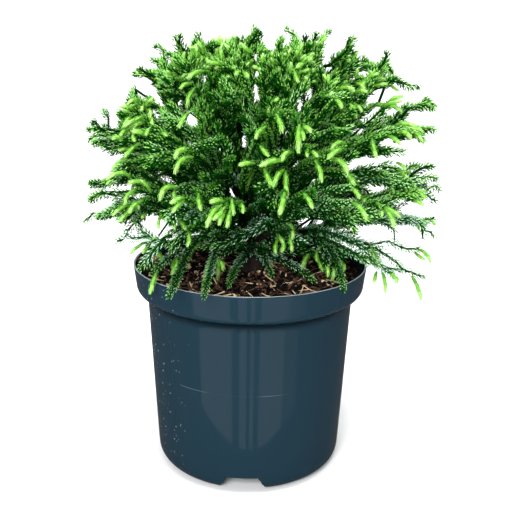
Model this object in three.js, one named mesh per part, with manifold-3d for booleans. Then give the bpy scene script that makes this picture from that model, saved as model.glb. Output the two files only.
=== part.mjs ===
// A dwarf Japanese cedar (cryptomeria) growing in a round nursery pot.
// Millimetres, +Z up. The origin is on the pot's axis, in the plane that the pot stands on.
// The plant's front is towards -Y and its right-hand side towards +X.

import * as THREE from 'three';
import { mergeVertices } from 'three/addons/utils/BufferGeometryUtils.js';
import Module from 'manifold-3d';

const solids = await Module();
solids.setup();

// What touches or is cut by its neighbour keeps this clearance.
const GAP = 0.3;

// Pot: a tapering body under a wider rim band, with a small bead round the lip.
const POT_HEIGHT = 170;
const LIP_RADIUS = 95;
const LIP_WIDTH = 3;
const BEAD_HEIGHT = 4.5;
const BEAD_SLOPE = 1.2;
const EDGE_BREAK = 1;
const BAND_RADIUS = 93.1;
const BAND_DEPTH = 24.6;
const BAND_UNDERCUT = 8.4;
const BODY_TOP_RADIUS = 84.2;
const BODY_FOOT_RADIUS = 77;
const CORNER_HEIGHT = 12.2;
const FOOT_RADIUS = 64.2;
const POT_WALL = 1.8;
const POT_SIDES = 40;
const CORNER_STEPS = 3;
const CUT_OVER = 5;

// Raised drain channels that run in under the pot's edge.
const CHANNELS = 3;
const CHANNEL_TURN = -93;
const CHANNEL_FOOT_WIDTH = 38;
const CHANNEL_TOP_WIDTH = 25.5;
const CHANNEL_HEIGHT = 14;
const CHANNEL_START = 34;
const DRAIN_RADIUS = 4.5;
const DRAIN_DISTANCE = 46;
const DRAIN_SIDES = 10;

// Potting mix: filled to below the lip, a little higher and level round the stem.
const MIX_LEVEL = 161;
const MIX_SWELL = 1.4;
const MIX_RINGS = [0.72, 0.42];
const MIX_WAVES = { right: 17, back: 14, slant: 9, slantShare: 0.6, rightStart: 0.6, backStart: -0.4 };
const SEAT_HEIGHT = 163.5;
const SEAT_RADIUS = 17;

// Trunk: a short stem that flares at the foot and runs up into the top of the crown.
const TRUNK_FOOT_RADIUS = 8.6;
const TRUNK_TIP_RADIUS = 3.6;
const FLARE = 4.6;
const FLARE_HEIGHT = 7;
const ROOT_RIDGES = { count: 3, depth: 0.25, turn: 0.7 };
const FOOT_SKIRT = 1.5;
const TRUNK_SIDES = 10;
const TRUNK_STEPS = 9;
const TRUNK_FOOT = new THREE.Vector2(2.5, -1.5);
const TRUNK_STRAIGHT = 26;

// Crown: a globe round a hub on the stem, drawn out or in by a few broad bulges.
const HUB = new THREE.Vector3(0, 0, 188);
const GLOBE_CENTRE = new THREE.Vector3(11, 2, 216);
const GLOBE_RADIUS = 138;
const BULGES = [
  { azimuth: 0, elevation: 47, width: 20, height: 20 },
  { azimuth: 180, elevation: 62, width: 15, height: 13 },
  { azimuth: 180, elevation: 37, width: 9, height: 8 },
  { azimuth: -12, elevation: -20, width: 16, height: 15 },
  { azimuth: 0, elevation: 16, width: 10, height: 5 },
  { azimuth: 180, elevation: 20, width: 12, height: 5 },
];

// Foliage: every mass fills its own cone from the hub out to the globe. The low tier dips over
// the pot's rim at the right, and a little at the front on the left.
const TIERS = [
  { tier: 'low', count: 9, turn: -112, rise: 22, dip: 1, stem: 174, stagger: 4.5, bough: 3.1 },
  { tier: 'mid', count: 8, turn: -70, rise: 46, dip: 0.3, stem: 193, stagger: 3.5, bough: 2.7 },
  { tier: 'high', count: 5, turn: -144, rise: 66, dip: -0.3, stem: 211, stagger: 2.5, bough: 2.3 },
];
const DIPS = [
  { azimuth: 5, width: 60, depth: 15 },
  { azimuth: -128, width: 30, depth: 9 },
];
const TOP_AZIMUTH = 175;
const TOP_TILT = 9;
const JITTER = 4;
const MASS_START = 60;
const MASS_ROOT_RADIUS = 8;
const MASS_SPREAD = 19;
const CELL_MARGIN = 1.3;
const MASS_SIDES = 14;
const LEAST_LOBES = 3;
const LOBE_DEPTH = 0.05;
const ROUGHNESS = 0.035;
const ROUGH_WAVES = { round: 5, along: 9, across: 7 };
const MASS_LEAST_DEPTH = 6;
const RIM_CLEARANCE = 1.2;
const RIM_SIDES = 24;
const PLAN_SEED = 41;
const MASS_SEED = 700;

// Boughs: one tapering limb from the stem to the root of each mass.
const BOUGH_SIDES = 6;
const BOUGH_STEPS = 5;
const BOUGH_TAPER = 0.62;
const BOUGH_STRAIGHT = 24;

const COLOURS = {
  pot: { color: 0x2c4252, roughness: 0.22 },
  mix: { color: 0x2a1c14, roughness: 0.95 },
  bark: { color: 0x5a3d2a, roughness: 0.85 },
  foliage: { color: 0x2f6a2a, roughness: 0.7 },
};

// Below this the parts of a unit vector count as nothing; above STEEP a limb counts as upright.
const TINY = 1e-6;
const STEEP = 0.9;

const radians = THREE.MathUtils.degToRad;
const degrees = THREE.MathUtils.radToDeg;

// A repeatable source of numbers from 0 to 1.
function seeded(seed) {
  let state = seed;
  return () => {
    state = (state + 0x6d2b79f5) | 0;
    let mixed = Math.imul(state ^ (state >>> 15), 1 | state);
    mixed = (mixed + Math.imul(mixed ^ (mixed >>> 7), 61 | mixed)) ^ mixed;
    return ((mixed ^ (mixed >>> 14)) >>> 0) / 4294967296;
  };
}

function namedMesh(name, geometry, look) {
  const mesh = new THREE.Mesh(geometry, new THREE.MeshStandardMaterial({ ...look, metalness: 0 }));
  mesh.name = name;
  return mesh;
}

// Unit vector at an azimuth from +X and an elevation above level, in degrees.
function bearing(azimuth, elevation) {
  const level = Math.cos(radians(elevation));
  const turn = radians(azimuth);
  return new THREE.Vector3(level * Math.cos(turn), level * Math.sin(turn), Math.sin(radians(elevation)));
}

// A closed mesh with shared corners.
function welded(geometry) {
  const bare = geometry.clone();
  bare.deleteAttribute('normal');
  bare.deleteAttribute('uv');
  return mergeVertices(bare, 1e-4);
}

function toSolid(geometry) {
  const mesh = welded(geometry);
  const vertProperties = new Float32Array(mesh.attributes.position.array);
  const triVerts = new Uint32Array(mesh.index.array);
  return new solids.Manifold(new solids.Mesh({ numProp: 3, vertProperties, triVerts }));
}

function toGeometry(solid) {
  const { vertProperties, triVerts } = solid.getMesh();
  const geometry = new THREE.BufferGeometry();
  geometry.setAttribute('position', new THREE.BufferAttribute(vertProperties, 3));
  geometry.setIndex(new THREE.BufferAttribute(triVerts, 1));
  return geometry;
}

// Moves every corner of a closed mesh to where the rule puts it.
function reshape(geometry, rule) {
  const mesh = welded(geometry);
  const place = mesh.attributes.position;
  const corner = new THREE.Vector3();
  for (let index = 0; index < place.count; index += 1) {
    corner.fromBufferAttribute(place, index);
    const moved = rule(corner);
    place.setXYZ(index, moved.x, moved.y, moved.z);
  }
  return mesh;
}

// The lower outer quarter of an ellipse about (radius, height), from underneath to the side.
function arc(radius, height, across, upwards) {
  const points = [];
  for (let step = 0; step <= CORNER_STEPS; step += 1) {
    const angle = radians(90 * (step / CORNER_STEPS - 1));
    points.push([radius + across * Math.cos(angle), height + upwards * Math.sin(angle)]);
  }
  return points;
}

// A solid of revolution about +Z from [radius, height] pairs that run from the foot upwards.
function turned(outline) {
  const points = outline.map(([radius, height]) => new THREE.Vector2(Math.max(radius, 0), height));
  return new THREE.LatheGeometry(points, POT_SIDES).rotateX(Math.PI / 2);
}

// ---------------------------------------------------------------- pot and potting mix

const POT_SHOULDER = POT_HEIGHT - BAND_DEPTH;

// The pot's outer wall from the middle of its foot up to the lip.
function outerWall() {
  const cornerRun = BODY_FOOT_RADIUS - FOOT_RADIUS;
  const bandRun = BAND_RADIUS - BODY_TOP_RADIUS;
  return [
    [0, 0],
    ...arc(FOOT_RADIUS, CORNER_HEIGHT, cornerRun, CORNER_HEIGHT),
    ...arc(BODY_TOP_RADIUS, POT_SHOULDER + BAND_UNDERCUT, bandRun, BAND_UNDERCUT),
    [BAND_RADIUS, POT_HEIGHT - BEAD_HEIGHT],
    [LIP_RADIUS, POT_HEIGHT - BEAD_HEIGHT + BEAD_SLOPE],
    [LIP_RADIUS, POT_HEIGHT - EDGE_BREAK],
    [LIP_RADIUS - EDGE_BREAK, POT_HEIGHT],
  ];
}

// The hollow inside the pot, from the middle of its floor up to a height, shrunk by a clearance.
function innerWall(clearance, top) {
  const inset = POT_WALL + clearance;
  return [
    [0, inset],
    [FOOT_RADIUS - EDGE_BREAK, inset],
    [BODY_FOOT_RADIUS - inset - EDGE_BREAK, CORNER_HEIGHT],
    [BODY_TOP_RADIUS - inset, POT_SHOULDER + POT_WALL],
    [BAND_RADIUS - inset, POT_SHOULDER + BAND_UNDERCUT + POT_WALL],
    [BAND_RADIUS - inset, top],
  ];
}

// A wedge with sloping cheeks that lies along a drain channel, grown by a wall.
function channelWedge(azimuth, wall) {
  const foot = CHANNEL_FOOT_WIDTH / 2 + wall;
  const top = CHANNEL_TOP_WIDTH / 2 + wall;
  const height = CHANNEL_HEIGHT + wall;
  const outline = new THREE.Shape([
    new THREE.Vector2(-foot, -height),
    new THREE.Vector2(foot, -height),
    new THREE.Vector2(foot, 0),
    new THREE.Vector2(top, height),
    new THREE.Vector2(-top, height),
    new THREE.Vector2(-foot, 0),
  ]);
  const start = CHANNEL_START - wall;
  const wedge = new THREE.ExtrudeGeometry(outline, { depth: LIP_RADIUS - start, bevelEnabled: false });
  wedge.translate(0, 0, start).rotateX(Math.PI / 2).rotateZ(Math.PI / 2 + radians(azimuth));
  return toSolid(wedge);
}

function channelAzimuths() {
  return Array.from({ length: CHANNELS }, (_, index) => CHANNEL_TURN + (360 / CHANNELS) * index);
}

function drainHole(azimuth) {
  const hole = new THREE.CylinderGeometry(DRAIN_RADIUS, DRAIN_RADIUS, CHANNEL_HEIGHT * 4, DRAIN_SIDES);
  const spot = bearing(azimuth, 0).multiplyScalar(DRAIN_DISTANCE);
  return toSolid(hole.rotateX(Math.PI / 2).translate(spot.x, spot.y, 0));
}

function makePot() {
  const mouth = LIP_RADIUS - LIP_WIDTH;
  const overTop = POT_HEIGHT + CUT_OVER;
  let hollow = toSolid(turned([
    ...innerWall(0, POT_HEIGHT - 2 * EDGE_BREAK),
    [mouth, POT_HEIGHT - EDGE_BREAK],
    [mouth, overTop],
    [0, overTop],
  ]));
  let body = toSolid(turned([...outerWall(), [0, POT_HEIGHT]]));
  for (const azimuth of channelAzimuths()) {
    hollow = hollow.subtract(channelWedge(azimuth, POT_WALL));
    body = body.subtract(channelWedge(azimuth, 0)).subtract(drainHole(azimuth));
  }
  return namedMesh('pot', toGeometry(body.subtract(hollow)), COLOURS.pot);
}

// Height of the loose surface of the mix, which the stem's seat leaves level.
function mixSurface(x, y) {
  const waves = MIX_WAVES;
  const crossed = Math.sin(x / waves.right + waves.rightStart) * Math.cos(y / waves.back + waves.backStart);
  const slanting = waves.slantShare * Math.sin((x + y) / waves.slant);
  return MIX_LEVEL + MIX_SWELL * (crossed + slanting);
}

function makePottingMix() {
  const edge = BAND_RADIUS - POT_WALL - GAP;
  const fill = turned([
    ...innerWall(GAP, MIX_LEVEL),
    ...MIX_RINGS.map((share) => [edge * share, MIX_LEVEL]),
    [SEAT_RADIUS, SEAT_HEIGHT],
    [0, SEAT_HEIGHT],
  ]);
  const uneven = reshape(fill, (corner) => {
    const loose = corner.z >= MIX_LEVEL && Math.hypot(corner.x, corner.y) > SEAT_RADIUS + EDGE_BREAK;
    return loose ? corner.clone().setZ(mixSurface(corner.x, corner.y)) : corner;
  });
  let mix = toSolid(uneven);
  for (const azimuth of channelAzimuths()) {
    mix = mix.subtract(channelWedge(azimuth, POT_WALL + GAP));
  }
  return namedMesh('potting_mix', toGeometry(mix), COLOURS.mix);
}

// ---------------------------------------------------------------- trunk and boughs

// A limb: a unit cylinder laid along a curve. girth gives its radius from the share of its
// length and the angle round it, which is counted from a level line across the limb.
function limb(curve, sides, steps, girth) {
  const blank = new THREE.CylinderGeometry(1, 1, 1, sides, steps);
  const chord = curve.getPoint(1).sub(curve.getPoint(0)).normalize();
  const upright = Math.abs(chord.z) > STEEP;
  const level = upright ? new THREE.Vector3(1, 0, 0) : new THREE.Vector3(-chord.y, chord.x, 0);
  return reshape(blank, (corner) => {
    const share = corner.y + 0.5;
    const angle = Math.atan2(corner.z, corner.x);
    const along = curve.getTangent(share);
    const side = level.clone().addScaledVector(along, -along.dot(level)).normalize();
    const other = new THREE.Vector3().crossVectors(side, along);
    const radius = girth(share, angle) * Math.hypot(corner.x, corner.z);
    return curve.getPoint(share)
      .addScaledVector(side, radius * Math.cos(angle))
      .addScaledVector(other, radius * Math.sin(angle));
  });
}

const topDirection = bearing(TOP_AZIMUTH, 90 - TOP_TILT);
const trunkTip = HUB.clone().addScaledVector(topDirection, MASS_START - GAP);
const trunkLine = new THREE.QuadraticBezierCurve3(
  new THREE.Vector3(TRUNK_FOOT.x, TRUNK_FOOT.y, SEAT_HEIGHT + GAP),
  trunkTip.clone().addScaledVector(topDirection, -TRUNK_STRAIGHT),
  trunkTip);

// The stem tapers evenly, and swells into a few root ridges at the foot.
function trunkGirth(share, angle) {
  const height = share * (trunkTip.z - SEAT_HEIGHT);
  const taper = THREE.MathUtils.lerp(TRUNK_FOOT_RADIUS, TRUNK_TIP_RADIUS, share);
  const ridges = 1 + ROOT_RIDGES.depth * Math.cos(ROOT_RIDGES.count * angle + ROOT_RIDGES.turn);
  return taper + FLARE * ridges * Math.exp(-height / FLARE_HEIGHT);
}

// The stem grown by a clearance. Its foot is cut level, whatever way the stem leans.
function trunkSolid(clearance) {
  const girth = (share, angle) => trunkGirth(share, angle) + clearance;
  const foot = SEAT_HEIGHT + GAP;
  return reshape(limb(trunkLine, TRUNK_SIDES, TRUNK_STEPS, girth), (corner) => {
    const onFoot = corner.z < foot + FOOT_SKIRT;
    return onFoot ? corner.clone().setZ(foot) : corner;
  });
}

// The bough leaves the stem's middle line at a height and runs straight into the mass at its end.
function makeBough(place, stemCut) {
  const share = (place.stem - SEAT_HEIGHT) / (trunkTip.z - SEAT_HEIGHT);
  const start = trunkLine.getPoint(share);
  const end = HUB.clone().addScaledVector(place.direction, MASS_START - GAP);
  const bend = end.clone().addScaledVector(place.direction, -BOUGH_STRAIGHT);
  const line = new THREE.QuadraticBezierCurve3(start, bend, end);
  const taper = (along) => THREE.MathUtils.lerp(place.bough, place.bough * BOUGH_TAPER, along);
  const bare = toSolid(limb(line, BOUGH_SIDES, BOUGH_STEPS, taper));
  return namedMesh(`bough_${place.name}`, toGeometry(bare.subtract(stemCut)), COLOURS.bark);
}

// ---------------------------------------------------------------- crown

// Distance from the hub to the crown's outside along a direction: a ray to the globe, plus the
// bulges, each of which fades out as a bell curve of the angle from its middle.
function crownReach(direction) {
  const offset = HUB.clone().sub(GLOBE_CENTRE);
  const along = offset.dot(direction);
  let reach = -along + Math.sqrt(along * along - offset.lengthSq() + GLOBE_RADIUS ** 2);
  for (const bulge of BULGES) {
    const away = direction.angleTo(bearing(bulge.azimuth, bulge.elevation)) / radians(bulge.width);
    reach += bulge.height * Math.exp(-away * away);
  }
  return reach;
}

// How far the skirt of the crown dips at an azimuth, in degrees: a bell curve about each low side.
function dipAt(azimuth) {
  let dip = 0;
  for (const low of DIPS) {
    const between = bearing(azimuth, 0).angleTo(bearing(low.azimuth, 0));
    const away = degrees(between) / low.width;
    dip += low.depth * Math.exp(-away * away);
  }
  return dip;
}

// Names, directions and stem heights of all masses, tier by tier.
function planCrown() {
  const random = seeded(PLAN_SEED);
  const wobble = () => (random() * 2 - 1) * JITTER;
  const places = [];
  for (const { tier, count, turn, rise, dip, stem, stagger, bough } of TIERS) {
    for (let index = 0; index < count; index += 1) {
      const azimuth = turn + (360 / count) * index + wobble();
      const elevation = rise - dip * dipAt(azimuth) + wobble() / 2;
      const height = stem + stagger * (index % 2 === 0 ? -1 : 1);
      const name = `${tier}_${index + 1}`;
      places.push({ name, direction: bearing(azimuth, elevation), stem: height, bough });
    }
  }
  places.push({ name: 'top', direction: topDirection });
  return places;
}

// The widest tilt from a mass's own direction, towards a side, that stays clear of every neighbour.
function clearTilt(place, places, sideways) {
  let tilt = MASS_SPREAD;
  for (const other of places) {
    const between = place.direction.clone().sub(other.direction);
    const closing = -sideways.dot(between);
    if (other !== place && closing > TINY) {
      const limit = degrees(Math.atan(place.direction.dot(between) / closing));
      tilt = Math.min(tilt, limit - CELL_MARGIN);
    }
  }
  return tilt;
}

// The outline of every mass before it is carried out: [share of the tilt, share of the reach],
// from the middle of its root to the middle of its end.
const MASS_OUTLINE = [
  [0, 0],
  [0.3, 0],
  [0.62, 0.55],
  [0.86, 0.7],
  [1, 0.84],
  [0.98, 0.94],
  [0.72, 1],
  [0.36, 1],
  [0, 1],
];

// A mass of foliage: a lathe blank whose corners are carried out along the rays from the hub.
// Its end is lobed round its edge and roughened, with waves that differ from mass to mass.
function makeMass(place, places, index, rimCut) {
  const random = seeded(MASS_SEED + index);
  const [lobeStart, roundStart, acrossStart] = Array.from({ length: 3 }, () => random() * Math.PI * 2);
  const lobes = LEAST_LOBES + Math.floor(random() * 3);
  const side = new THREE.Vector3(-place.direction.y, place.direction.x, 0).normalize();
  const other = new THREE.Vector3().crossVectors(side, place.direction);
  const profile = MASS_OUTLINE.map(([across, along]) => new THREE.Vector2(across, along));
  const blank = new THREE.LatheGeometry(profile, MASS_SIDES);
  const shaped = reshape(blank, (corner) => {
    const across = Math.hypot(corner.x, corner.z);
    const angle = Math.atan2(corner.z, corner.x);
    const sideways = side.clone().multiplyScalar(Math.cos(angle)).addScaledVector(other, Math.sin(angle));
    if (corner.y === 0) {
      const radius = across > 0 ? MASS_ROOT_RADIUS : 0;
      return HUB.clone().addScaledVector(place.direction, MASS_START).addScaledVector(sideways, radius);
    }
    const tilt = radians(across * clearTilt(place, places, sideways));
    const direction = place.direction.clone().multiplyScalar(Math.cos(tilt))
      .addScaledVector(sideways, Math.sin(tilt));
    const lobed = LOBE_DEPTH * across * (Math.sin(lobes * angle + lobeStart) - 1);
    const twisted = ROUGH_WAVES.round * angle + ROUGH_WAVES.along * corner.y + roundStart;
    const rough = ROUGHNESS * Math.sin(twisted) * Math.sin(ROUGH_WAVES.across * across + acrossStart);
    const distance = corner.y * crownReach(direction) * (1 + lobed + rough);
    return HUB.clone().addScaledVector(direction, Math.max(distance, MASS_START + MASS_LEAST_DEPTH));
  });
  const solid = toSolid(shaped).subtract(rimCut);
  return namedMesh(`foliage_${place.name}`, toGeometry(solid), COLOURS.foliage);
}

// The space that the pot takes up, with a little clearance, which no mass may enter.
function potSpace() {
  const height = POT_HEIGHT + RIM_CLEARANCE;
  const space = new THREE.CylinderGeometry(
    LIP_RADIUS + RIM_CLEARANCE,
    BODY_TOP_RADIUS + RIM_CLEARANCE,
    height,
    RIM_SIDES,
  );
  return toSolid(space.rotateX(Math.PI / 2).translate(0, 0, height / 2));
}

// ---------------------------------------------------------------- the whole plant

function makePlant() {
  const plant = new THREE.Group();
  const places = planCrown();
  const stemCut = toSolid(trunkSolid(GAP));
  const rimCut = potSpace();
  plant.add(makePot());
  plant.add(makePottingMix());
  plant.add(namedMesh('trunk', trunkSolid(0), COLOURS.bark));
  for (const place of places.filter(({ bough }) => bough)) {
    plant.add(makeBough(place, stemCut));
  }
  places.forEach((place, index) => plant.add(makeMass(place, places, index, rimCut)));
  return plant;
}

const group = makePlant();

export default group;
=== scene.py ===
"""Potted dwarf cryptomeria: the looks of plant and pot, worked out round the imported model.

Lengths are in metres, +Z is up and the front is towards -Y. Shapes are whole numpy arrays. The packed
boughs are the limbs that the shoots grow on from, by a rule with a seed.
"""

import math

import bpy
import numpy as np
from bpy.props import FloatProperty, FloatVectorProperty, IntProperty, PointerProperty
from bpy.types import Operator, Panel, PropertyGroup
from mathutils import Matrix, Vector
from mathutils.bvhtree import BVHTree


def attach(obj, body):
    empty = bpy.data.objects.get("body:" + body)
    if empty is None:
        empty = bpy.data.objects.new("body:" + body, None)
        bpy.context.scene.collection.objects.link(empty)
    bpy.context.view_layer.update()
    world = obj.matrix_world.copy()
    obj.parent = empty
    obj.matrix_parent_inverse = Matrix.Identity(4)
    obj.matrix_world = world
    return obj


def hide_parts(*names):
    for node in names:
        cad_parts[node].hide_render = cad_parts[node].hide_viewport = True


bl_info = {
    "name": "Potted dwarf cryptomeria",
    "version": (1, 0, 0),
    "blender": (4, 5, 0),
    "location": "3D View > Sidebar > Cryptomeria",
    "description": "Builds a dwarf cryptomeria in a nursery pot round its packed model",
    "category": "Add Mesh",
}

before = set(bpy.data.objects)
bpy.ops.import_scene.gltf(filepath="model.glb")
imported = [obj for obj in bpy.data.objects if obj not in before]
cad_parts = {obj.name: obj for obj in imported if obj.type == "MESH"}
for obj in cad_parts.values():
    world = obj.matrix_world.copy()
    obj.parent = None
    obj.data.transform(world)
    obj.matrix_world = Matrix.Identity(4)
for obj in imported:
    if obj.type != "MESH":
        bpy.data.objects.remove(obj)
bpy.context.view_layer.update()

MM = 0.001
GOLDEN_TURN = math.pi * (3 - math.sqrt(5))
FULL_TURN = 2 * math.pi
UP = np.array([0.0, 0.0, 1.0])


def a_colour(name, about, colour):
    """A colour setting, as displayed red, green and blue from 0 to 1."""
    return FloatVectorProperty(
        name=name, description=about, default=colour, size=3, min=0, max=1, subtype="COLOR_GAMMA")


def a_length(name, about, metres):
    """A length setting, in metres."""
    return FloatProperty(name=name, description=about, default=metres, min=0, unit="LENGTH", precision=4)


def an_angle(name, about, degrees):
    """An angle setting, whose default is given in degrees."""
    return FloatProperty(name=name, description=about, default=math.radians(degrees), subtype="ANGLE")


def a_share(name, about, share):
    """A setting from 0 to 1."""
    return FloatProperty(name=name, description=about, default=share, min=0, max=1, subtype="FACTOR")


def a_count(name, about, count, least=0):
    """A whole number as a setting."""
    return IntProperty(name=name, description=about, default=count, min=least)


class PotSettings(PropertyGroup):
    """Sizes and colour of the nursery pot."""

    height: a_length("Height", "From the floor to the lip", 0.170)
    lip_radius: a_length("Lip radius", "Outer radius of the rim band at the lip", 0.095)
    band_radius: a_length("Band radius", "Outer radius of the rim band at its foot", 0.0931)
    band_depth: a_length("Band depth", "From the lip to the foot of the rim band", 0.0246)
    shoulder_radius: a_length("Shoulder radius", "Radius of the body where the rim band starts", 0.0842)
    foot_radius: a_length("Foot radius", "Radius of the body above its rounded foot", 0.077)
    wall: a_length("Wall", "Thickness of the plastic", 0.0018)
    channel_height: a_length("Channel height", "Height of the drain channels under the pot", 0.014)
    colour: a_colour("Colour", "Colour of the plastic", (0.088, 0.165, 0.205))


class MixSettings(PropertyGroup):
    """Fill and coarseness of the potting mix."""

    level: a_length("Level", "Height of the mix's surface above the floor", 0.161)
    chips: a_count("Bark chips", "Number of bark chips on the mix", 2100)
    straws: a_count("Straws", "Number of fibres on the mix", 520)
    seed: a_count("Seed", "Which of the possible surfaces is made", 5)
    dark: a_colour("Dark", "Colour of the damp peat", (0.120, 0.085, 0.070))
    brown: a_colour("Brown", "Colour of the bark chips", (0.285, 0.210, 0.165))
    straw: a_colour("Straw", "Colour of the pale fibres", (0.840, 0.740, 0.600))


class CrownSettings(PropertyGroup):
    """How the crown grows on from the boughs."""

    branches: a_count("Branches", "Branches in each mass", 14, 1)
    end_shoots: a_count("End shoots", "Side shoots near the end of each branch", 3, 1)
    side_shoots: a_count("Side shoots", "Side shoots further in on each branch", 1, 1)
    inner_shoots: a_count("Inner shoots", "Shoots on each bough", 4, 1)
    stem_shoots: a_count("Stem shoots", "Shoots on the stem itself", 60, 1)
    spread: an_angle("Spread", "Half the angle over which a mass fans out", 20.5)
    shoot_length: a_length("Shoot length", "Length of the longest side shoots", 0.036)
    needle_length: a_length("Needle length", "Length of a grown needle", 0.0056)
    needle_width: a_length("Needle width", "Width of a grown needle", 0.00112)
    needle_pitch: a_length("Needle pitch", "Length of shoot for each needle", 0.00050)
    fresh_sprays: a_share("Fresh sprays", "Share of the branches that are in new growth", 0.36)
    crest_sprays: a_share("Crest sprays", "The same share at the top of the crown", 0.62)
    skirt_sprays: a_share("Skirt sprays", "The same share in the lowest masses", 0.85)
    fresh_share: a_share("Fresh share", "Share of the shoots on such a branch that end in new growth", 0.8)
    stray_share: a_share("Stray share", "Share of the other shoots that end in new growth", 0.07)
    fresh_length: a_length("Fresh length", "Length of the longest new growth", 0.0215)
    fresh_radius: a_length("Fresh radius", "Radius of the new growth", 0.00165)
    seed: a_count("Seed", "Which of the possible crowns is grown", 11)


class StageSettings(PropertyGroup):
    """Floor, lights and camera."""

    lens: FloatProperty(name="Lens", description="Focal length in millimetres", default=56.8, min=1)
    camera_place: FloatVectorProperty(
        name="Camera place", description="Where the camera stands", size=3,
        default=(0.002587, -0.63107, 0.35478), unit="LENGTH")
    camera_dip: an_angle("Camera dip", "How far the camera looks down", 15.873)
    camera_roll: an_angle("Camera roll", "How far the camera leans", 0.728)
    room_glow: FloatProperty(
        name="Room glow", description="Brightness of the room in gloss", default=0.10, min=0)
    card_glow: FloatProperty(
        name="Card glow", description="Brightness of the cards in gloss", default=0.65, min=0)


# ---------------------------------------------------------------- arrays and meshes

def unit(vectors):
    """Vectors divided by their lengths, along the last axis."""
    return vectors / np.maximum(np.linalg.norm(vectors, axis=-1, keepdims=True), 1e-12)


def linear(colour):
    """Displayed colour values as linear light, by the standard curve of displays, and an alpha of 1."""
    value = np.asarray(colour, float)
    return (*np.where(value <= 0.04045, value / 12.92, ((value + 0.055) / 1.055) ** 2.4), 1)


def smooth_step(low, high, value):
    """0 below low, 1 above high, and 3s^2 - 2s^3 of the share s of the way between them."""
    share = np.clip((value - low) / (high - low), 0, 1)
    return share * share * (3 - 2 * share)


def value_noise(x, y, seed):
    """Random heights from -1 to 1 on a grid of unit squares, blended across each by a smooth step."""
    table = np.random.default_rng(seed).uniform(-1, 1, (64, 64))
    column, row = np.floor(x).astype(int), np.floor(y).astype(int)
    right, up = smooth_step(0, 1, x - column), smooth_step(0, 1, y - row)
    low, high = (
        table[line % 64, column % 64] * (1 - right) + table[line % 64, (column + 1) % 64] * right
        for line in (row, row + 1))
    return low * (1 - up) + high * up


def added(name, data):
    """An object of a mesh, lamp or camera, in the scene."""
    obj = bpy.data.objects.new(name, data)
    bpy.context.scene.collection.objects.link(obj)
    return obj


def mesh_object(name, corners, faces, materials=(), tones=None, smooth=False):
    """A mesh object at the origin from arrays of corners and of triangles or quads."""
    mesh = bpy.data.meshes.new(name)
    mesh.vertices.add(len(corners))
    mesh.vertices.foreach_set("co", np.ascontiguousarray(corners, np.float32).ravel())
    mesh.loops.add(faces.size)
    mesh.loops.foreach_set("vertex_index", np.ascontiguousarray(faces, np.int32).ravel())
    mesh.polygons.add(len(faces))
    mesh.polygons.foreach_set("loop_start", np.arange(0, faces.size, faces.shape[1], dtype=np.int32))
    for material in materials:
        mesh.materials.append(material)
    if tones is not None:
        mesh.polygons.foreach_set("material_index", np.ascontiguousarray(tones, np.int32))
    mesh.update(calc_edges=True)
    if smooth:
        mesh.shade_smooth()
    else:
        mesh.shade_flat()
    return added(name, mesh)


def piece(name, corners, faces, materials, tones=None, smooth=True, replaced=()):
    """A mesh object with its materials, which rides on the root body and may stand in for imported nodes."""
    obj = mesh_object(name, corners, faces, materials, tones, smooth)
    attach(obj, "root")
    if replaced:
        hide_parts(*replaced)
    return obj


def numbered(template, count, corners):
    """The faces of count like shapes, each with its own corners, from the faces of the first."""
    return (template[None] + corners * np.arange(count)[:, None, None]).reshape(-1, template.shape[1])


def grid_faces(rows, columns):
    """Quads of a grid of corners that lies row by row."""
    corner = (np.arange(rows - 1)[:, None] * columns + np.arange(columns - 1)).ravel()
    return np.stack([corner, corner + 1, corner + 1 + columns, corner + columns], -1)


def turned_faces(rows, columns):
    """Triangles of closed rings between two poles: corner 0, then the rings in order, and a last corner."""
    ring = np.arange(columns)
    after = (ring + 1) % columns
    start = 1 + columns * np.arange(rows - 1)[:, None]
    near, near_after = start + ring, start + after
    far, far_after = near + columns, near_after + columns
    band = np.stack([
        np.stack([near, far, far_after], -1),
        np.stack([near, far_after, near_after], -1),
    ], 2).reshape(-1, 3)
    last = 1 + columns * (rows - 1)
    first_cap = np.stack([0 * ring, ring + 1, after + 1], -1)
    last_cap = np.stack([0 * ring + last + columns, last + after, last + ring], -1)
    return np.concatenate([first_cap, band, last_cap])


def curve_points(curves, share):
    """Places and directions on quadratic curves with the rows start, bend and end.

    Place = (1-t)^2 start + 2t(1-t) bend + t^2 end, and the direction is that of its derivative."""
    start, bend, end = curves[..., 0, :], curves[..., 1, :], curves[..., 2, :]
    t = share[..., None]
    place = (1 - t) ** 2 * start + 2 * t * (1 - t) * bend + t * t * end
    along = (1 - t) * (bend - start) + t * (end - bend)
    return place, unit(along)


def points_on_each(curves, share):
    """Places at the same shares of each curve, as (curves, shares, 3)."""
    return curve_points(curves[:, None], np.broadcast_to(share, (len(curves), len(share))))[0]


def curve_lengths(curves):
    """Length of each curve, as the mean of its chord and its two control legs."""
    legs = np.linalg.norm(np.diff(curves, axis=1), axis=-1)
    return (2 * np.linalg.norm(curves[:, 2] - curves[:, 0], axis=-1) + (legs[:, 0] + legs[:, 1])) / 3


def fan_out(side, other, angle):
    """side cos a + other sin a."""
    return side * np.cos(angle)[:, None] + other * np.sin(angle)[:, None]


def pointing(turn, rise):
    """Unit vectors at a turn about the upright and a rise over the level."""
    return np.stack([np.cos(turn) * np.cos(rise), np.sin(turn) * np.cos(rise), np.sin(rise)], -1)


def cross_frame(curves, along):
    """Two unit vectors square to each direction, counted from one fixed level line for each curve."""
    chord = unit(curves[:, 2] - curves[:, 0])
    level = np.where(np.abs(chord[:, 2:]) > 0.9, np.array([1.0, 0.0, 0.0]), np.cross(UP, chord))
    side = unit(level - along * np.sum(level * along, -1, keepdims=True))
    return side, np.cross(along, side)


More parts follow.
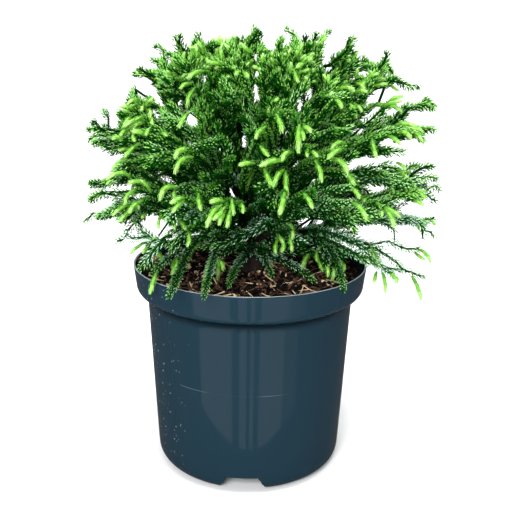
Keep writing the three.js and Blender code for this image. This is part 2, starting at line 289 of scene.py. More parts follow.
def tubes(curves, radius, sides, steps, moved=None):
    """Closed tubes along curves: corners, faces, and each face's curve. radius gives the ring radii from
    the curve's index, the share of its length and the angle round it. moved moves the rings' middles."""
    count = len(curves)
    share = np.broadcast_to(np.linspace(0, 1, steps + 1), (count, steps + 1))
    owner = np.repeat(np.arange(count), steps + 1)
    place, along = curve_points(curves[owner], share.ravel())
    side, other = cross_frame(curves[owner], along)
    if moved:
        place = moved(place)
    angle = np.arange(sides) * (FULL_TURN / sides)
    girth = radius(np.arange(count)[:, None, None], share[:, :, None], angle[None, None, :])
    girth = np.broadcast_to(girth, (count, steps + 1, sides)).reshape(-1, sides, 1)
    ring = place[:, None] + girth * fan_out(side[:, None], other[:, None], angle)
    place = place.reshape(count, steps + 1, 3)
    corners = np.concatenate([place[:, :1], ring.reshape(count, -1, 3), place[:, -1:]], 1)
    template = turned_faces(steps + 1, sides)[:, ::-1]
    faces = numbered(template, count, corners.shape[1])
    return corners.reshape(-1, 3), faces, np.repeat(np.arange(count), len(template))


# ---------------------------------------------------------------- materials

def feed(tree, node, inputs):
    """Gives a node's sockets, by name or number, their values or the sockets that they read."""
    for name, value in inputs.items():
        if isinstance(value, bpy.types.NodeSocket):
            tree.links.new(value, node.inputs[name])
        else:
            node.inputs[name].default_value = value
    return node


def shade(tree, kind, inputs=None, **settings):
    """A new shader node of a kind."""
    node = tree.nodes.new("ShaderNode" + kind)
    for name, value in settings.items():
        setattr(node, name, value)
    return feed(tree, node, inputs or {})


def calculated(tree, operation, *values):
    """The result of a Math node, whose inputs are sockets or numbers."""
    return shade(tree, "Math", dict(enumerate(values)), operation=operation).outputs["Value"]


def slope(tree, value, low, high, first, last):
    """A smooth change from a first to a last value between two limits."""
    limits = {"From Min": low, "From Max": high, "To Min": first, "To Max": last}
    mapped = shade(tree, "MapRange", {"Value": value, **limits}, interpolation_type="SMOOTHSTEP")
    return mapped.outputs["Result"]


def blended(tree, share, first, last):
    """A colour between two, by a share."""
    return shade(tree, "Mix", {"Factor": share, "A": first, "B": last}, data_type="RGBA").outputs["Result"]


def node_group(name, takes, gives):
    """A new node group with typed sockets, the sockets that it is given, and its output node."""
    group = bpy.data.node_groups.new(name, "ShaderNodeTree")
    for way, sockets in (("INPUT", takes), ("OUTPUT", gives)):
        for socket, kind in sockets.items():
            group.interface.new_socket(socket, in_out=way, socket_type="NodeSocket" + kind)
    return group, group.nodes.new("NodeGroupInput").outputs, group.nodes.new("NodeGroupOutput")


def plain_material(name, colour, roughness, specular=0.5):
    """A plain surface of one colour, given as displayed values."""
    material = bpy.data.materials.new(name)
    material.use_nodes = True
    finish(material, {"Base Color": linear(colour), "Roughness": roughness, "Specular IOR Level": specular})
    return material


def finish(material, inputs):
    """Feeds the sockets of a material's own shader."""
    feed(material.node_tree, material.node_tree.nodes["Principled BSDF"], inputs)


def mottle_group():
    """A node group that blends two colours by noise and gives a height for the same grain."""
    group, given, result = node_group(
        "Mottle", {"Light": "Color", "Dark": "Color", "Scale": "Float"},
        {"Colour": "Color", "Height": "Float"})
    place = shade(group, "TexCoord").outputs["Object"]
    noise = shade(
        group, "TexNoise", {"Vector": place, "Scale": given["Scale"], "Detail": 6, "Roughness": 0.62})
    grain = noise.outputs["Fac"]
    feed(group, result, {"Colour": blended(group, grain, given["Dark"], given["Light"]), "Height": grain})
    return group


def mottled_material(name, light, dark, scale, roughness, bump, specular=0.3):
    """A grainy surface between two colours, whose grain also stands out in relief."""
    material = plain_material(name, light, roughness, specular)
    tree = material.node_tree
    tones = {"Light": linear(light), "Dark": linear(dark), "Scale": scale}
    mottling = bpy.data.node_groups.get("Mottle") or mottle_group()
    mottle = shade(tree, "Group", tones, node_tree=mottling).outputs
    relief = shade(tree, "Bump", {"Distance": bump, "Height": mottle["Height"]})
    finish(material, {"Base Color": mottle["Colour"], "Normal": relief.outputs["Normal"]})
    return material


# ---------------------------------------------------------------- pot

# The drain channels under the pot: their turns about the upright, half their width at the floor and at
# their top, and how far from the middle they start. Then the drain holes, and the rounded foot.
CHANNEL_AZIMUTHS = np.radians([-93.0, 27.0, 147.0])
CHANNEL_FOOT, CHANNEL_TOP, CHANNEL_START = 0.019, 0.01275, 0.034
DRAIN_RADIUS, DRAIN_DISTANCE = 0.0045, 0.046
CORNER_HEIGHT, CORNER_START = 0.0122, 0.0642
UNDERCUT, LIP_ROUND = 0.0084, 0.0006
POT_COLUMNS, DRILL_COLUMNS = 240, 32
# Colours of the lip, paled as painted highlight and by rubbing, of the painted shade under the band, and of
# dust.
LIP_SHEEN = (0.66, 0.69, 0.71)
PAINTED_SHADE_COLOUR, DUST = (0.0015, 0.004, 0.006, 1), (0.30, 0.34, 0.36, 1)


def quarter(radius, height, across, upwards, first, last, steps):
    """Points (radius + across cos a, height + upwards sin a) of an ellipse, a from first to last degrees."""
    angle = np.radians(np.linspace(first, last, steps))
    return np.stack([radius + across * np.cos(angle), height + upwards * np.sin(angle)], -1)


def run(first, last, steps):
    """Points at even steps from first to last, without either end."""
    return np.linspace(first, last, steps + 2)[1:-1]


def outer_profile(pot):
    """[radius, height] of the pot's outside, from near the middle of the foot up to the lip."""
    shoulder = pot.height - pot.band_depth
    ledge = pot.band_radius - pot.shoulder_radius
    heel = (pot.foot_radius, CORNER_HEIGHT)
    ankle = (pot.foot_radius + 0.0004, CORNER_HEIGHT + 0.005)
    return np.concatenate([
        run((0.0, 0.0), (CORNER_START, 0.0), 26),
        quarter(CORNER_START, CORNER_HEIGHT, pot.foot_radius - CORNER_START, CORNER_HEIGHT, -90, 0, 12),
        run(heel, ankle, 5),
        run(ankle, (pot.shoulder_radius, shoulder), 16),
        quarter(pot.shoulder_radius, shoulder + UNDERCUT, ledge, UNDERCUT, -90, 0, 14),
        run((pot.band_radius, shoulder + UNDERCUT), (pot.lip_radius, pot.height - LIP_ROUND), 6),
        quarter(pot.lip_radius - LIP_ROUND, pot.height - LIP_ROUND, LIP_ROUND, LIP_ROUND, 0, 90, 5),
    ])


def inner_profile(pot, clearance):
    """[radius, height] of the pot's inside, from near the middle of its floor up to the mouth."""
    inset = pot.wall + clearance
    shoulder = pot.height - pot.band_depth
    corners = [
        (0.0, inset), (CORNER_START - 0.001, inset), (pot.foot_radius - inset - 0.001, CORNER_HEIGHT),
        (pot.shoulder_radius - inset, shoulder + pot.wall), (pot.band_radius - inset, shoulder + 0.0102),
        (pot.lip_radius - inset - 0.0004, pot.height - 0.006)]
    return np.concatenate([run(*ends) for ends in zip(corners, corners[1:], (26, 8, 12, 5, 3))])


def channel_ceiling(pot, x, y, wall):
    """Height of the drain channels over a place: the channel's height inside its flat top, falling evenly
    down its cheeks and its inner end to nothing."""
    ceiling = np.zeros_like(x)
    for azimuth in CHANNEL_AZIMUTHS:
        along = x * math.cos(azimuth) + y * math.sin(azimuth)
        across = np.abs(y * math.cos(azimuth) - x * math.sin(azimuth))
        cheek = np.clip((CHANNEL_FOOT + wall - across) / (CHANNEL_FOOT - CHANNEL_TOP), 0, 1)
        end = np.clip((along - CHANNEL_START + wall) / 0.002, 0, 1)
        ceiling = np.maximum(ceiling, (pot.channel_height + wall) * np.minimum(cheek, end))
    return ceiling


def lathe_corners(profile, columns):
    """Corners of a profile turned about the upright axis: a pole, the rings, a pole."""
    angle = np.arange(columns) * (FULL_TURN / columns)
    radius, height = profile[:, :1], np.repeat(profile[:, 1:], columns, 1)
    ring = np.stack([radius * np.cos(angle), radius * np.sin(angle), height], -1).reshape(-1, 3)
    return np.concatenate([[(0, 0, profile[0, 1])], ring, [(0, 0, profile[-1, 1])]])


def drilled(obj, pot):
    """Cuts the drain holes with upright drills through the channels' ceilings, and keeps the result."""
    drills = []
    profile = np.array([[DRAIN_RADIUS, -0.002], [DRAIN_RADIUS, 3 * pot.channel_height]])
    for azimuth in CHANNEL_AZIMUTHS:
        corners = lathe_corners(profile, DRILL_COLUMNS)
        corners[:, :2] += DRAIN_DISTANCE * math.cos(azimuth), DRAIN_DISTANCE * math.sin(azimuth)
        drills.append(mesh_object("drill", corners, turned_faces(2, DRILL_COLUMNS)[:, ::-1]))
        cut = obj.modifiers.new("Drain", "BOOLEAN")
        cut.operation, cut.solver, cut.object = "DIFFERENCE", "EXACT", drills[-1]
    graph = bpy.context.evaluated_depsgraph_get()
    mesh = bpy.data.meshes.new_from_object(obj.evaluated_get(graph))
    obj.modifiers.clear()
    obj.data = mesh
    for drill in drills:
        bpy.data.objects.remove(drill)


def crease_shade_and_marks_group(crease):
    """A node group for painted shade and signs of use: painted shade in a band about a height above the
    floor, mostly just under it, where the rim band overhangs the body, a lower specular level there, and
    marks, which are specks of dust on one side and a thin broken scuff line, on the front."""
    group, given, result = node_group(
        "Pot marks and crease shade", {"Place": "Vector"}, {"Painted shade": "Float", "Gloss": "Float", "Marks": "Float"})
    place = {"Vector": given["Place"]}
    across, depth, height = shade(group, "SeparateXYZ", place).outputs
    specks = shade(group, "TexVoronoi", {**place, "Scale": 240}).outputs["Distance"]
    patch = shade(group, "TexNoise", {**place, "Scale": 26}).outputs["Fac"]

    def times(first, *others):
        """The product of sockets and numbers."""
        for other in others:
            first = calculated(group, "MULTIPLY", first, other)
        return first

    # Painted shade: a darker colour and less specular level just under the foot of the overhanging rim band.
    shade_in_crease = times(
        slope(group, height, crease - 0.0085, crease - 0.0005, 0, 0.9),
        slope(group, height, crease + 0.0006, crease + 0.0042, 1, 0))
    front = slope(group, depth, -0.03, 0.02, 1, 0)
    reach = times(slope(group, across, -0.072, -0.030, 0.27, 0), front, patch)
    dust = times(calculated(group, "LESS_THAN", specks, reach), 0.7)
    line = calculated(group, "COMPARE", height, 0.0860, 0.00020)
    part = calculated(group, "COMPARE", across, -0.010, 0.043)
    scuff = times(line, part, times(slope(group, patch, 0.4, 0.6, 0.02, 0.22), front))
    marks = calculated(group, "MAXIMUM", dust, scuff)
    feed(group, result, {"Painted shade": shade_in_crease, "Gloss": slope(group, shade_in_crease, 0, 1, 0.32, 0), "Marks": marks})
    return group


def plastic_material(pot):
    """Glossy moulded plastic with faint handling marks in its gloss, dust and a scuff, and painted shade
    under the rim band.
    """
    material = plain_material("Blue-grey plastic", pot.colour, 0.1, 0.32)
    tree = material.node_tree
    place = shade(tree, "TexCoord").outputs["Object"]
    stretched = shade(tree, "Mapping", {"Vector": place, "Scale": (1, 1, 0.18)}).outputs["Vector"]
    smear = shade(tree, "TexNoise", {"Vector": stretched, "Scale": 55, "Detail": 5}).outputs["Fac"]
    marks_and_shade = shade(tree, "Group", {"Place": place}, node_tree=crease_shade_and_marks_group(pot.height - pot.band_depth)).outputs
    # The plastic's colour is darkened under the rim band as painted shade; dust and the scuff go over it.
    shaded_base = blended(tree, marks_and_shade["Painted shade"], linear(pot.colour), PAINTED_SHADE_COLOUR)
    finish(material, {
        "Base Color": blended(tree, marks_and_shade["Marks"], shaded_base, DUST),
        "Roughness": slope(tree, smear, 0.3, 0.8, 0.05, 0.14),
        "Specular IOR Level": marks_and_shade["Gloss"],
    })
    return material


class OBJECT_OT_cryptomeria_pot(Operator):
    """Make the nursery pot"""

    bl_idname = "object.cryptomeria_pot"
    bl_label = "Nursery pot"

    def execute(self, context):
        pot = context.scene.cryptomeria_pot
        outside, inside = outer_profile(pot), inner_profile(pot, 0.0)
        mouth = (pot.lip_radius, pot.height) - np.array([[1.4, 0.1], [1.7, 0.6], [1.9, 2.0]]) * MM
        profile = np.concatenate([outside, mouth, inside[::-1]])
        corners = lathe_corners(profile, POT_COLUMNS)
        rings = np.repeat(np.arange(len(profile)), POT_COLUMNS)
        outer = np.concatenate([[True], rings < len(outside), [False]])
        x, y, z = corners.T
        corners[:, 2] = np.maximum(z, channel_ceiling(pot, x, y, np.where(outer, 0.0, pot.wall)))
        band = np.repeat(np.arange(len(profile) - 1), 2 * POT_COLUMNS)
        # The lip and mouth take a pale colour: a painted highlight along the lip, with some rubbing.
        on_lip = (band > len(outside) - 4) & (band < len(outside) + 1)
        cap = np.zeros(POT_COLUMNS)
        body = piece(
            "nursery_pot", corners, turned_faces(len(profile), POT_COLUMNS),
            [plastic_material(pot), plain_material("Worn lip with painted highlight", LIP_SHEEN, 0.5, 0.3)],
            np.concatenate([cap, on_lip, cap]), replaced=["pot"])
        drilled(body, pot)
        return {"FINISHED"}


# ---------------------------------------------------------------- potting mix

MIX_COLUMNS, MIX_RINGS = 208, 80
MIX_CLEARANCE = 0.0005
SEAT_RADIUS, SEAT_RISE = 0.019, 0.0022
CHIP_FACES = np.array([[0, 2, 3, 1], [4, 5, 7, 6], [0, 1, 5, 4], [2, 6, 7, 3], [0, 4, 6, 2], [1, 3, 7, 5]])


def mix_height(mix, x, y):
    """Height of the mix: its level, broad swells, three finer layers of noise, and a rise to the stem."""
    swell = np.sin(x / 0.017 + 0.6) * np.cos(y / 0.014 - 0.4) + 0.6 * np.sin((x + y) / 0.009)
    lumps, grains, crumbs = (
        value_noise(x / size + start, y / size + start, mix.seed + layer)
        for layer, (size, start) in enumerate(((0.0062, 30), (0.0023, 30), (0.0011, 90))))
    seat = 1 - smooth_step(0.4, 1.7, np.hypot(x, y) / SEAT_RADIUS)
    return mix.level + 0.0012 * swell + 0.0011 * lumps + 0.0006 * grains + 0.0003 * crumbs + SEAT_RISE * seat


def chip_corners(place, size, turn, tilt, roll, shear):
    """Eight corners of flat uneven chips, lying at a turn about the upright and tilted off the level."""
    signs = np.array([[x, y, z] for z in (-1, 1) for y in (-1, 1) for x in (-1, 1)], float)
    body = signs[None] * size[:, None] / 2 * (1 + shear)
    forward = pointing(turn, tilt)
    level = np.stack([-np.sin(turn), np.cos(turn), 0 * turn], -1)
    side = fan_out(level, np.cross(forward, level), roll)
    return place[:, None] + body @ np.stack([forward, side, np.cross(forward, side)], 1)


def scattered(rng, count, reach):
    """Places spread evenly over a disc, as x and y."""
    radius = reach * np.sqrt(rng.random(count))
    turn = rng.uniform(0, FULL_TURN, count)
    return radius * np.cos(turn), radius * np.sin(turn)


class OBJECT_OT_cryptomeria_mix(Operator):
    """Fill the pot with bark and peat, and strew chips and fibres on it"""

    bl_idname = "object.cryptomeria_mix"
    bl_label = "Potting mix"

    def execute(self, context):
        pot, mix = context.scene.cryptomeria_pot, context.scene.cryptomeria_mix
        rng = np.random.default_rng(mix.seed)
        peat, bark, dark_bark, pale = (
            mottled_material(
                name, np.array(colour) * light, np.array(colour) * dark, scale, 0.9, relief, 0.12)
            for name, colour, light, dark, scale, relief in (
                ("Damp peat", mix.dark, 0.20, 0.01, 420, 0.0014),
                ("Brown bark chip", mix.brown, 1.6, 0.4, 330, 0.0006),
                ("Dark bark chip", mix.dark, 0.7, 0.05, 330, 0.0006),
                ("Pale fibre", mix.straw, 1.15, 0.75, 500, 0.0003)))

        below = inner_profile(pot, MIX_CLEARANCE)
        below = below[below[:, 1] < mix.level - 0.002]
        edge = below[-1, 0]
        top = np.stack([np.linspace(edge, 0.0004, MIX_RINGS), np.full(MIX_RINGS, mix.level)], -1)
        profile = np.concatenate([below, top])
        corners = lathe_corners(profile, MIX_COLUMNS)
        x, y, z = corners.T
        ring = np.concatenate([[0], np.repeat(np.arange(len(profile)), MIX_COLUMNS), [len(profile)]])
        lifted = np.maximum(z, channel_ceiling(pot, x, y, pot.wall + MIX_CLEARANCE))
        corners[:, 2] = np.where(ring >= len(below), mix_height(mix, x, y), lifted)
        faces = turned_faces(len(profile), MIX_COLUMNS)
        piece("potting_mix_bed", corners, faces, [peat], replaced=["potting_mix"])

        count = mix.chips
        x, y = scattered(rng, count, edge - 0.004)
        length = rng.uniform(0.0016, 0.0075, count)
        thickness = rng.uniform(0.0006, 0.0018, count)
        place = np.stack([x, y, mix_height(mix, x, y) + rng.uniform(0, 0.0012, count)], -1)
        chips = chip_corners(
            place, np.stack([length, length * rng.uniform(0.3, 0.7, count), thickness], -1),
            rng.uniform(0, FULL_TURN, count), rng.normal(0, 0.4, count), rng.normal(0, 0.5, count),
            rng.uniform(-0.35, 0.2, (count, 8, 3)))
        tones = np.repeat(rng.choice(3, count, p=[0.3, 0.67, 0.03]), 6)
        piece(
            "bark_chips", chips.reshape(-1, 3), numbered(CHIP_FACES, count, 8),
            [bark, dark_bark, pale], tones, smooth=False)

        count = mix.straws
        x, y = scattered(rng, count, edge - 0.012)
        middle = np.stack([x, y, mix_height(mix, x, y) + rng.uniform(0.0004, 0.0022, count)], -1)
        turn = rng.uniform(0, FULL_TURN, count)
        half = rng.uniform(0.003, 0.0085, count)[:, None] * np.stack(
            [np.cos(turn), np.sin(turn), rng.normal(0, 0.35, count)], -1)
        bend = middle + rng.normal(0, 0.0005, (count, 3))
        start, end = middle - half, middle + half
        for tip in (start, end):
            tip[:, 2] = np.maximum(tip[:, 2], mix_height(mix, tip[:, 0], tip[:, 1]))
        girth = rng.uniform(0.00025, 0.0006, count)
        straws, faces, owner = tubes(
            np.stack([start, bend, end], 1),
            lambda index, share, angle: girth[index] * (1.1 - 0.5 * share), 4, 3)
        tones = rng.choice(3, count, p=[0.2, 0.42, 0.38])[owner]
        piece("straw_fibres", straws, faces, [pale, bark, dark_bark], tones, smooth=False)
        return {"FINISHED"}


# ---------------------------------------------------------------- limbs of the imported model

# Where the crown's limbs fan out from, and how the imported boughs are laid.
HUB = np.array([0.0, 0.0, 0.188])
BOUGH_STRAIGHT, TRUNK_STRAIGHT = 0.024, 0.026
BOUGH_RADII = {"low": 0.0031, "mid": 0.0027, "high": 0.0023}
BOUGH_TAPER = 0.62
STEM_STEPS, BOUGH_STEPS = 80, 40


def node_corners(name):
    """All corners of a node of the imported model."""
    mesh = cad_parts[name].data
    corners = np.empty(3 * len(mesh.vertices), np.float32)
    mesh.vertices.foreach_get("co", corners)
    return corners.reshape(-1, 3).astype(float)


def node_triangles(name):
    """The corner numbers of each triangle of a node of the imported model."""
    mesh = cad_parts[name].data
    mesh.calc_loop_triangles()
    triangles = np.empty(3 * len(mesh.loop_triangles), np.int32)
    mesh.loop_triangles.foreach_get("vertices", triangles)
    return triangles.reshape(-1, 3)


def mass_names():
    """Names of the foliage masses, without their common first word, in a fixed order."""
    return sorted(name[len("foliage_"):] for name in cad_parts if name.startswith("foliage_"))


def tier_of(name):
    """The tier of a mass, which is the first word of its name."""
    return name.split("_")[0]


def mass_root(name):
    """The middle of the flat root of a mass, which is its corner nearest to the hub."""
    corners = node_corners(f"foliage_{name}")
    return corners[np.argmin(np.linalg.norm(corners - HUB, axis=1))]


def trunk_curve():
    """The stem's middle line: from its foot up to its tip, where it runs straight into the top mass."""
    corners = node_corners("trunk")
    low, high = corners[:, 2].min(), corners[:, 2].max()
    foot = corners[corners[:, 2] < low + 0.0005].mean(0)
    direction = unit(mass_root("top") - HUB)
    tip = corners[corners[:, 2] > high - 0.0015].mean(0)
    return np.array([foot, tip - TRUNK_STRAIGHT * direction, tip])


def bough_curves(trunk):
    """Names, middle lines and foot radii of the boughs. Each runs straight into its mass, and starts on the
    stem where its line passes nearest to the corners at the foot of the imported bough."""
    starts = curve_points(np.broadcast_to(trunk, (STEM_STEPS, 3, 3)), np.linspace(0, 1, STEM_STEPS))[0]
    names = [name for name in mass_names() if name != "top"]
    curves = []
    for name in names:
        end = mass_root(name)
        bend = end - BOUGH_STRAIGHT * unit(end - HUB)
        corners = node_corners(f"bough_{name}")
        away = np.linalg.norm(corners[:, None] - starts[None], axis=-1).min(1)
        foot = corners[away < np.quantile(away, 0.2)].mean(0)
        tries = np.stack([starts, starts * 0 + bend, starts * 0 + end], 1)
        miss = np.linalg.norm(points_on_each(tries, np.linspace(0, 1, BOUGH_STEPS)) - foot, axis=-1).min(1)
        curves.append([starts[np.argmin(miss)], bend, end])
    return names, np.array(curves), np.array([BOUGH_RADII[tier_of(name)] for name in names])


def crown_surface():
    """The outside of all masses, for rays."""
    corners, faces, count = [], [], 0
    for name in mass_names():
        corners.append(node_corners(f"foliage_{name}"))
        faces.append(node_triangles(f"foliage_{name}") + count)
        count += len(corners[-1])
    return BVHTree.FromPolygons(np.concatenate(corners).tolist(), np.concatenate(faces).tolist())


def crown_reach(surface, directions):
    """Distance from the hub to the crown's outside along each direction, by rays from outside. A ray that
    slips between two masses takes the farthest of its neighbours a little to each side."""
    far, sway = 0.5, 0.045
    reach = np.zeros(len(directions))
    for index, direction in enumerate(directions):
        side = unit(np.cross(direction, [0.3, 0.1, 1.0]))
        other = np.cross(direction, side)
        found = []
        for ray in (direction, *(direction + sway * way for way in (side, -side, other, -other))):
            ray = unit(ray)
            hit = surface.ray_cast(Vector(HUB + far * ray), Vector(-ray), far - 0.05)
            found.append(far - hit[3] if hit[3] is not None else 0.0)
        reach[index] = found[0] if found[0] > 0.85 * max(found) else max(found)
    return np.where(reach > 0.05, reach, 0.1)


# ---------------------------------------------------------------- growth

# How far a leader reaches towards the crown's outside, and how steep a mass is that counts as the crest.
LEADER_SHARE, CREST = 0.62, 0.85
# Branches in the masses of each tier, for one in the setting.
FULLNESS = {"low": 0.65, "mid": 0.9, "high": 1.25, "top": 1.45}
# The place from which the listed shapes below are seen.
FRONT_EYE = np.array([0.0026, -0.6311, 0.3548])
# Where light passes through the crown from the front: the middle (x, z) of each opening on the upright
# plane through the stem, half its length, half its width (mm) and the lean of its length (degrees).
# A scratch program fitted most of these to the light patches in the photograph.
OPENINGS = np.array([
    (-46,282,5.3,3.1,115), (-25,260,5.6,2.4,119), (-12,224,6.3,3.1,140), (-77,199,10,5.2,153),
    (101,231,7,2.2,9), (37,296,8,2,80), (113,172,8.9,3.1,149), (100,254,6,2.2,47), (89,253,4,2.5,47),
    (81,249,5.2,3.2,172), (44,202,5.3,2.9,8), (54,202,4.9,2.5,40), (90,299,4.1,2.5,17), (96,304,4.1,2.6,8),
    (-113,229,3.5,2.9,155), (3,306,4.4,2,108), (104,267,4.1,2.1,17), (44,303,5.6,1.6,85),
    (47,234,6.5,1.7,38), (-6,264,4.8,1.7,117), (-9,199,4.4,2.2,175), (83,331,3.4,2.3,130),
    (-71,296,3.4,2.4,30), (-74,287,5.4,1.7,127), (138,273,3.6,3.1,147), (-101,230,4.1,2.1,157),
    (-36,314,3.7,1.7,108), (82,275,4.3,1.5,41), (93,291,6,1.3,37), (108,291,4.5,1.3,0), (4,318,3.2,1.9,90),
    (-16,263,3.8,1.5,129), (3,331,2.5,2,173), (58,323,2.5,2,85), (57,330,2.6,1.8,32), (43,214,3.8,1.5,176),
    (27,274,3.6,1.4,77), (120,221,2.9,1.7,22), (5,299,2.9,1.6,138), (83,241,2.2,2,173),
    (-13,250,2.8,1.5,111), (-14,241,3,1.4,132), (-48,265,2.8,1.6,120), (86,320,2.3,1.5,118),
    (34,248,2.8,1.3,46), (-4,219,2.5,1.5,130), (143,200,3.1,1.4,130), (-57,295,1.9,1.6,97),
    (134,214,13.3,4.7,7), (100,195,11.5,4.3,7), (126,175,20,4,160), (130,262,9,5.5,10), (117,253,7,3,0),
    (-119,215,9.7,3.8,27), (-108,281,8,3,99), (63,342,7.2,4.4,41), (26,344,4.4,3.3,103),
    (-82,308,7.3,4.8,54), (-124,184,12,9,10), (-112,178,14,7,0), (131,287,11.5,3.9,3), (126,303,8.2,3.4,50),
    (111,322,6.7,2.7,175), (96,332,4.4,3,104), (-6,350,4.3,3.3,100), (13,341,5.4,2.3,154),
    (-50,343,4.1,2.6,84), (-116,281,3.9,3,151), (-107,252,6.8,1.8,38), (-77,324,5.5,2.1,169),
    (-62,340,3.6,2.2,7), (144,235,3.9,2,171), (146,228,2.9,2.5,179), (-73,333,3.3,2,5),
    (36,347,2.8,1.8,144), (-36,348,2.8,1.8,42), (-106,207,3.2,1.7,44), (-24,359,13.6,9.8,0),
    (17,354,12.1,3.4,90), (86,350,7.6,11.4,0), (121,331,15.3,8.8,140), (-110,305,14,8.5,45),
    (-122,247,11.9,7.2,0), (-114,193,11.4,6.5,10), (128,193,9.8,5.7,160),
]) * [MM, MM, MM, MM, math.pi / 180]
# How much wider an opening counts for shoots, and how much a ninth of a shoot may be drawn out.
OPENING_MARGIN, TEAR = 0.0008, 0.003
# From how many of its 12 places in openings a branch or side shoot is left out.
BRANCH_CROSSINGS, SIDE_CROSSINGS = 9, 7
# How much wider an opening is made, and how many half widths away the last place is moved.
PART_MARGIN, PART_REACH = 0.0009, 2.1
# The long low shoots over the mix, called ropes: start, bend and end (x, y, z in mm).
# ROPES, RIM and TIPS were picked by eye in the photograph; a scratch program turned them into mm.
ROPES = np.array([
    (4,-19,200,-18,-46,201,-36,-38,190), (0,-11,193,-14,-38,192,-28,-38,182),
    (11,-3,186,-9,-9,173,-15,-87,172), (-4,-5,178,22,-14,182,48,-28,185), (10,-6,176,34,-30,178,48,-58,171),
    (0,-18,198,16,-7,203,25,-10,188), (39,-17,200,70,-106,225,96,-50,181),
    (43,-18,197,67,-84,209,89,-55,184), (54,-7,196,60,-36,192,57,-54,180),
    (56,-22,195,66,-54,188,65,-107,181), (56,-50,205,99,-25,193,133,-20,186),
    (0,-21,190,10,-4,180,17,-41,170), (13,-44,213,6,-48,206,-27,-52,195),
    (67,-56,203,114,-32,188,120,-32,173), (70,-60,196,105,-30,177,137,-32,167),
    (74,-62,195,100,-44,182,113,-42,168), (59,-50,215,105,-23,214,115,-25,200),
    (76,-40,213,115,-15,213,146,-10,211), (92,-35,208,128,-15,218,137,-16,194),
    (117,-20,212,137,-9,210,147,-10,194), (-68,-45,199,-87,-28,196,-107,-20,190),
    (-62,-50,196,-75,-39,203,-89,-25,207), (-59,-52,203,-71,-46,198,-79,-40,193),
    (-63,-55,201,-75,-52,187,-83,-50,174), (-67,-56,198,-75,-51,187,-78,-50,179),
    (-47,-25,188,-51,-72,182,-55,-112,176), (-46,-38,190,-61,-37,186,-70,-76,182),
    (-36,-14,200,-44,-50,189,-56,-39,182), (-23,-15,192,-30,-48,184,-31,-111,176),
    (-8,-33,197,-16,-50,206,-46,-22,192), (-15,-20,207,-34,-44,219,-56,-52,200),
    (-20,-20,203,-43,-35,211,-62,-50,195), (-24,-25,212,-47,-44,227,-66,-48,208),
    (-27,-30,209,-47,-50,215,-62,-50,205), (-30,-30,202,-47,-44,210,-59,-50,191),
    (-9,-10,210,-44,-23,227,-63,-25,205), (-13,-8,204,-41,-11,211,-67,-18,192),
    (-70,-32,192,-82,-25,200,-90,-22,208),
]).reshape(-1, 3, 3) * MM
# Shoots that make the outline from the front: x and z of start, bend and end (mm) as they are seen from
# the front eye on the upright plane y = 0. They fan out before and behind it by up to RIM_FAN.
RIM = np.array([
    (-51,325,-67,335,-75,339), (-50,314,-66,326,-78,328), (-64,308,-79,319,-87,322),
    (-62,305,-81,317,-91,318), (-47,325,-58,338,-59,345), (-47,328,-56,336,-52,346),
    (-42,328,-48,339,-45,346), (-31,335,-36,346,-28,349), (-17,332,-12,343,-12,354), (-5,333,-2,343,-2,353),
    (-5,334,-1,346,4,351), (36,330,32,342,25,354), (41,333,40,341,40,347), (45,333,47,345,48,350),
    (49,330,52,344,59,351), (58,326,67,340,74,346), (98,319,91,330,83,337), (97,317,87,331,89,337),
    (96,314,98,328,100,336), (93,313,102,343,113,325), (98,304,117,337,129,311), (111,282,120,299,134,304),
    (113,284,131,309,142,296), (114,285,131,301,141,291), (110,278,126,286,140,283),
    (110,271,131,286,142,275), (112,268,130,283,138,265), (116,230,122,251,132,253),
    (116,228,132,251,144,249), (118,230,136,246,148,237), (119,228,141,237,151,230),
    (121,223,137,225,148,224), (-73,292,-87,308,-96,304), (-74,285,-92,304,-97,294),
    (-98,264,-104,285,-107,291), (-99,264,-112,283,-116,289), (-98,266,-114,283,-125,281),
    (-98,265,-116,276,-129,275), (-99,261,-119,276,-128,267), (-98,261,-118,270,-125,263),
    (-93,259,-111,260,-114,257), (-97,232,-120,235,-128,238), (-97,227,-123,224,-130,218),
    (-99,222,-120,224,-127,213), (-97,219,-119,216,-125,204), (-93,216,-106,213,-112,206),
    (-83,209,-94,202,-101,192),
]).reshape(-1, 3, 2) * MM
RIM_FAN = 0.045
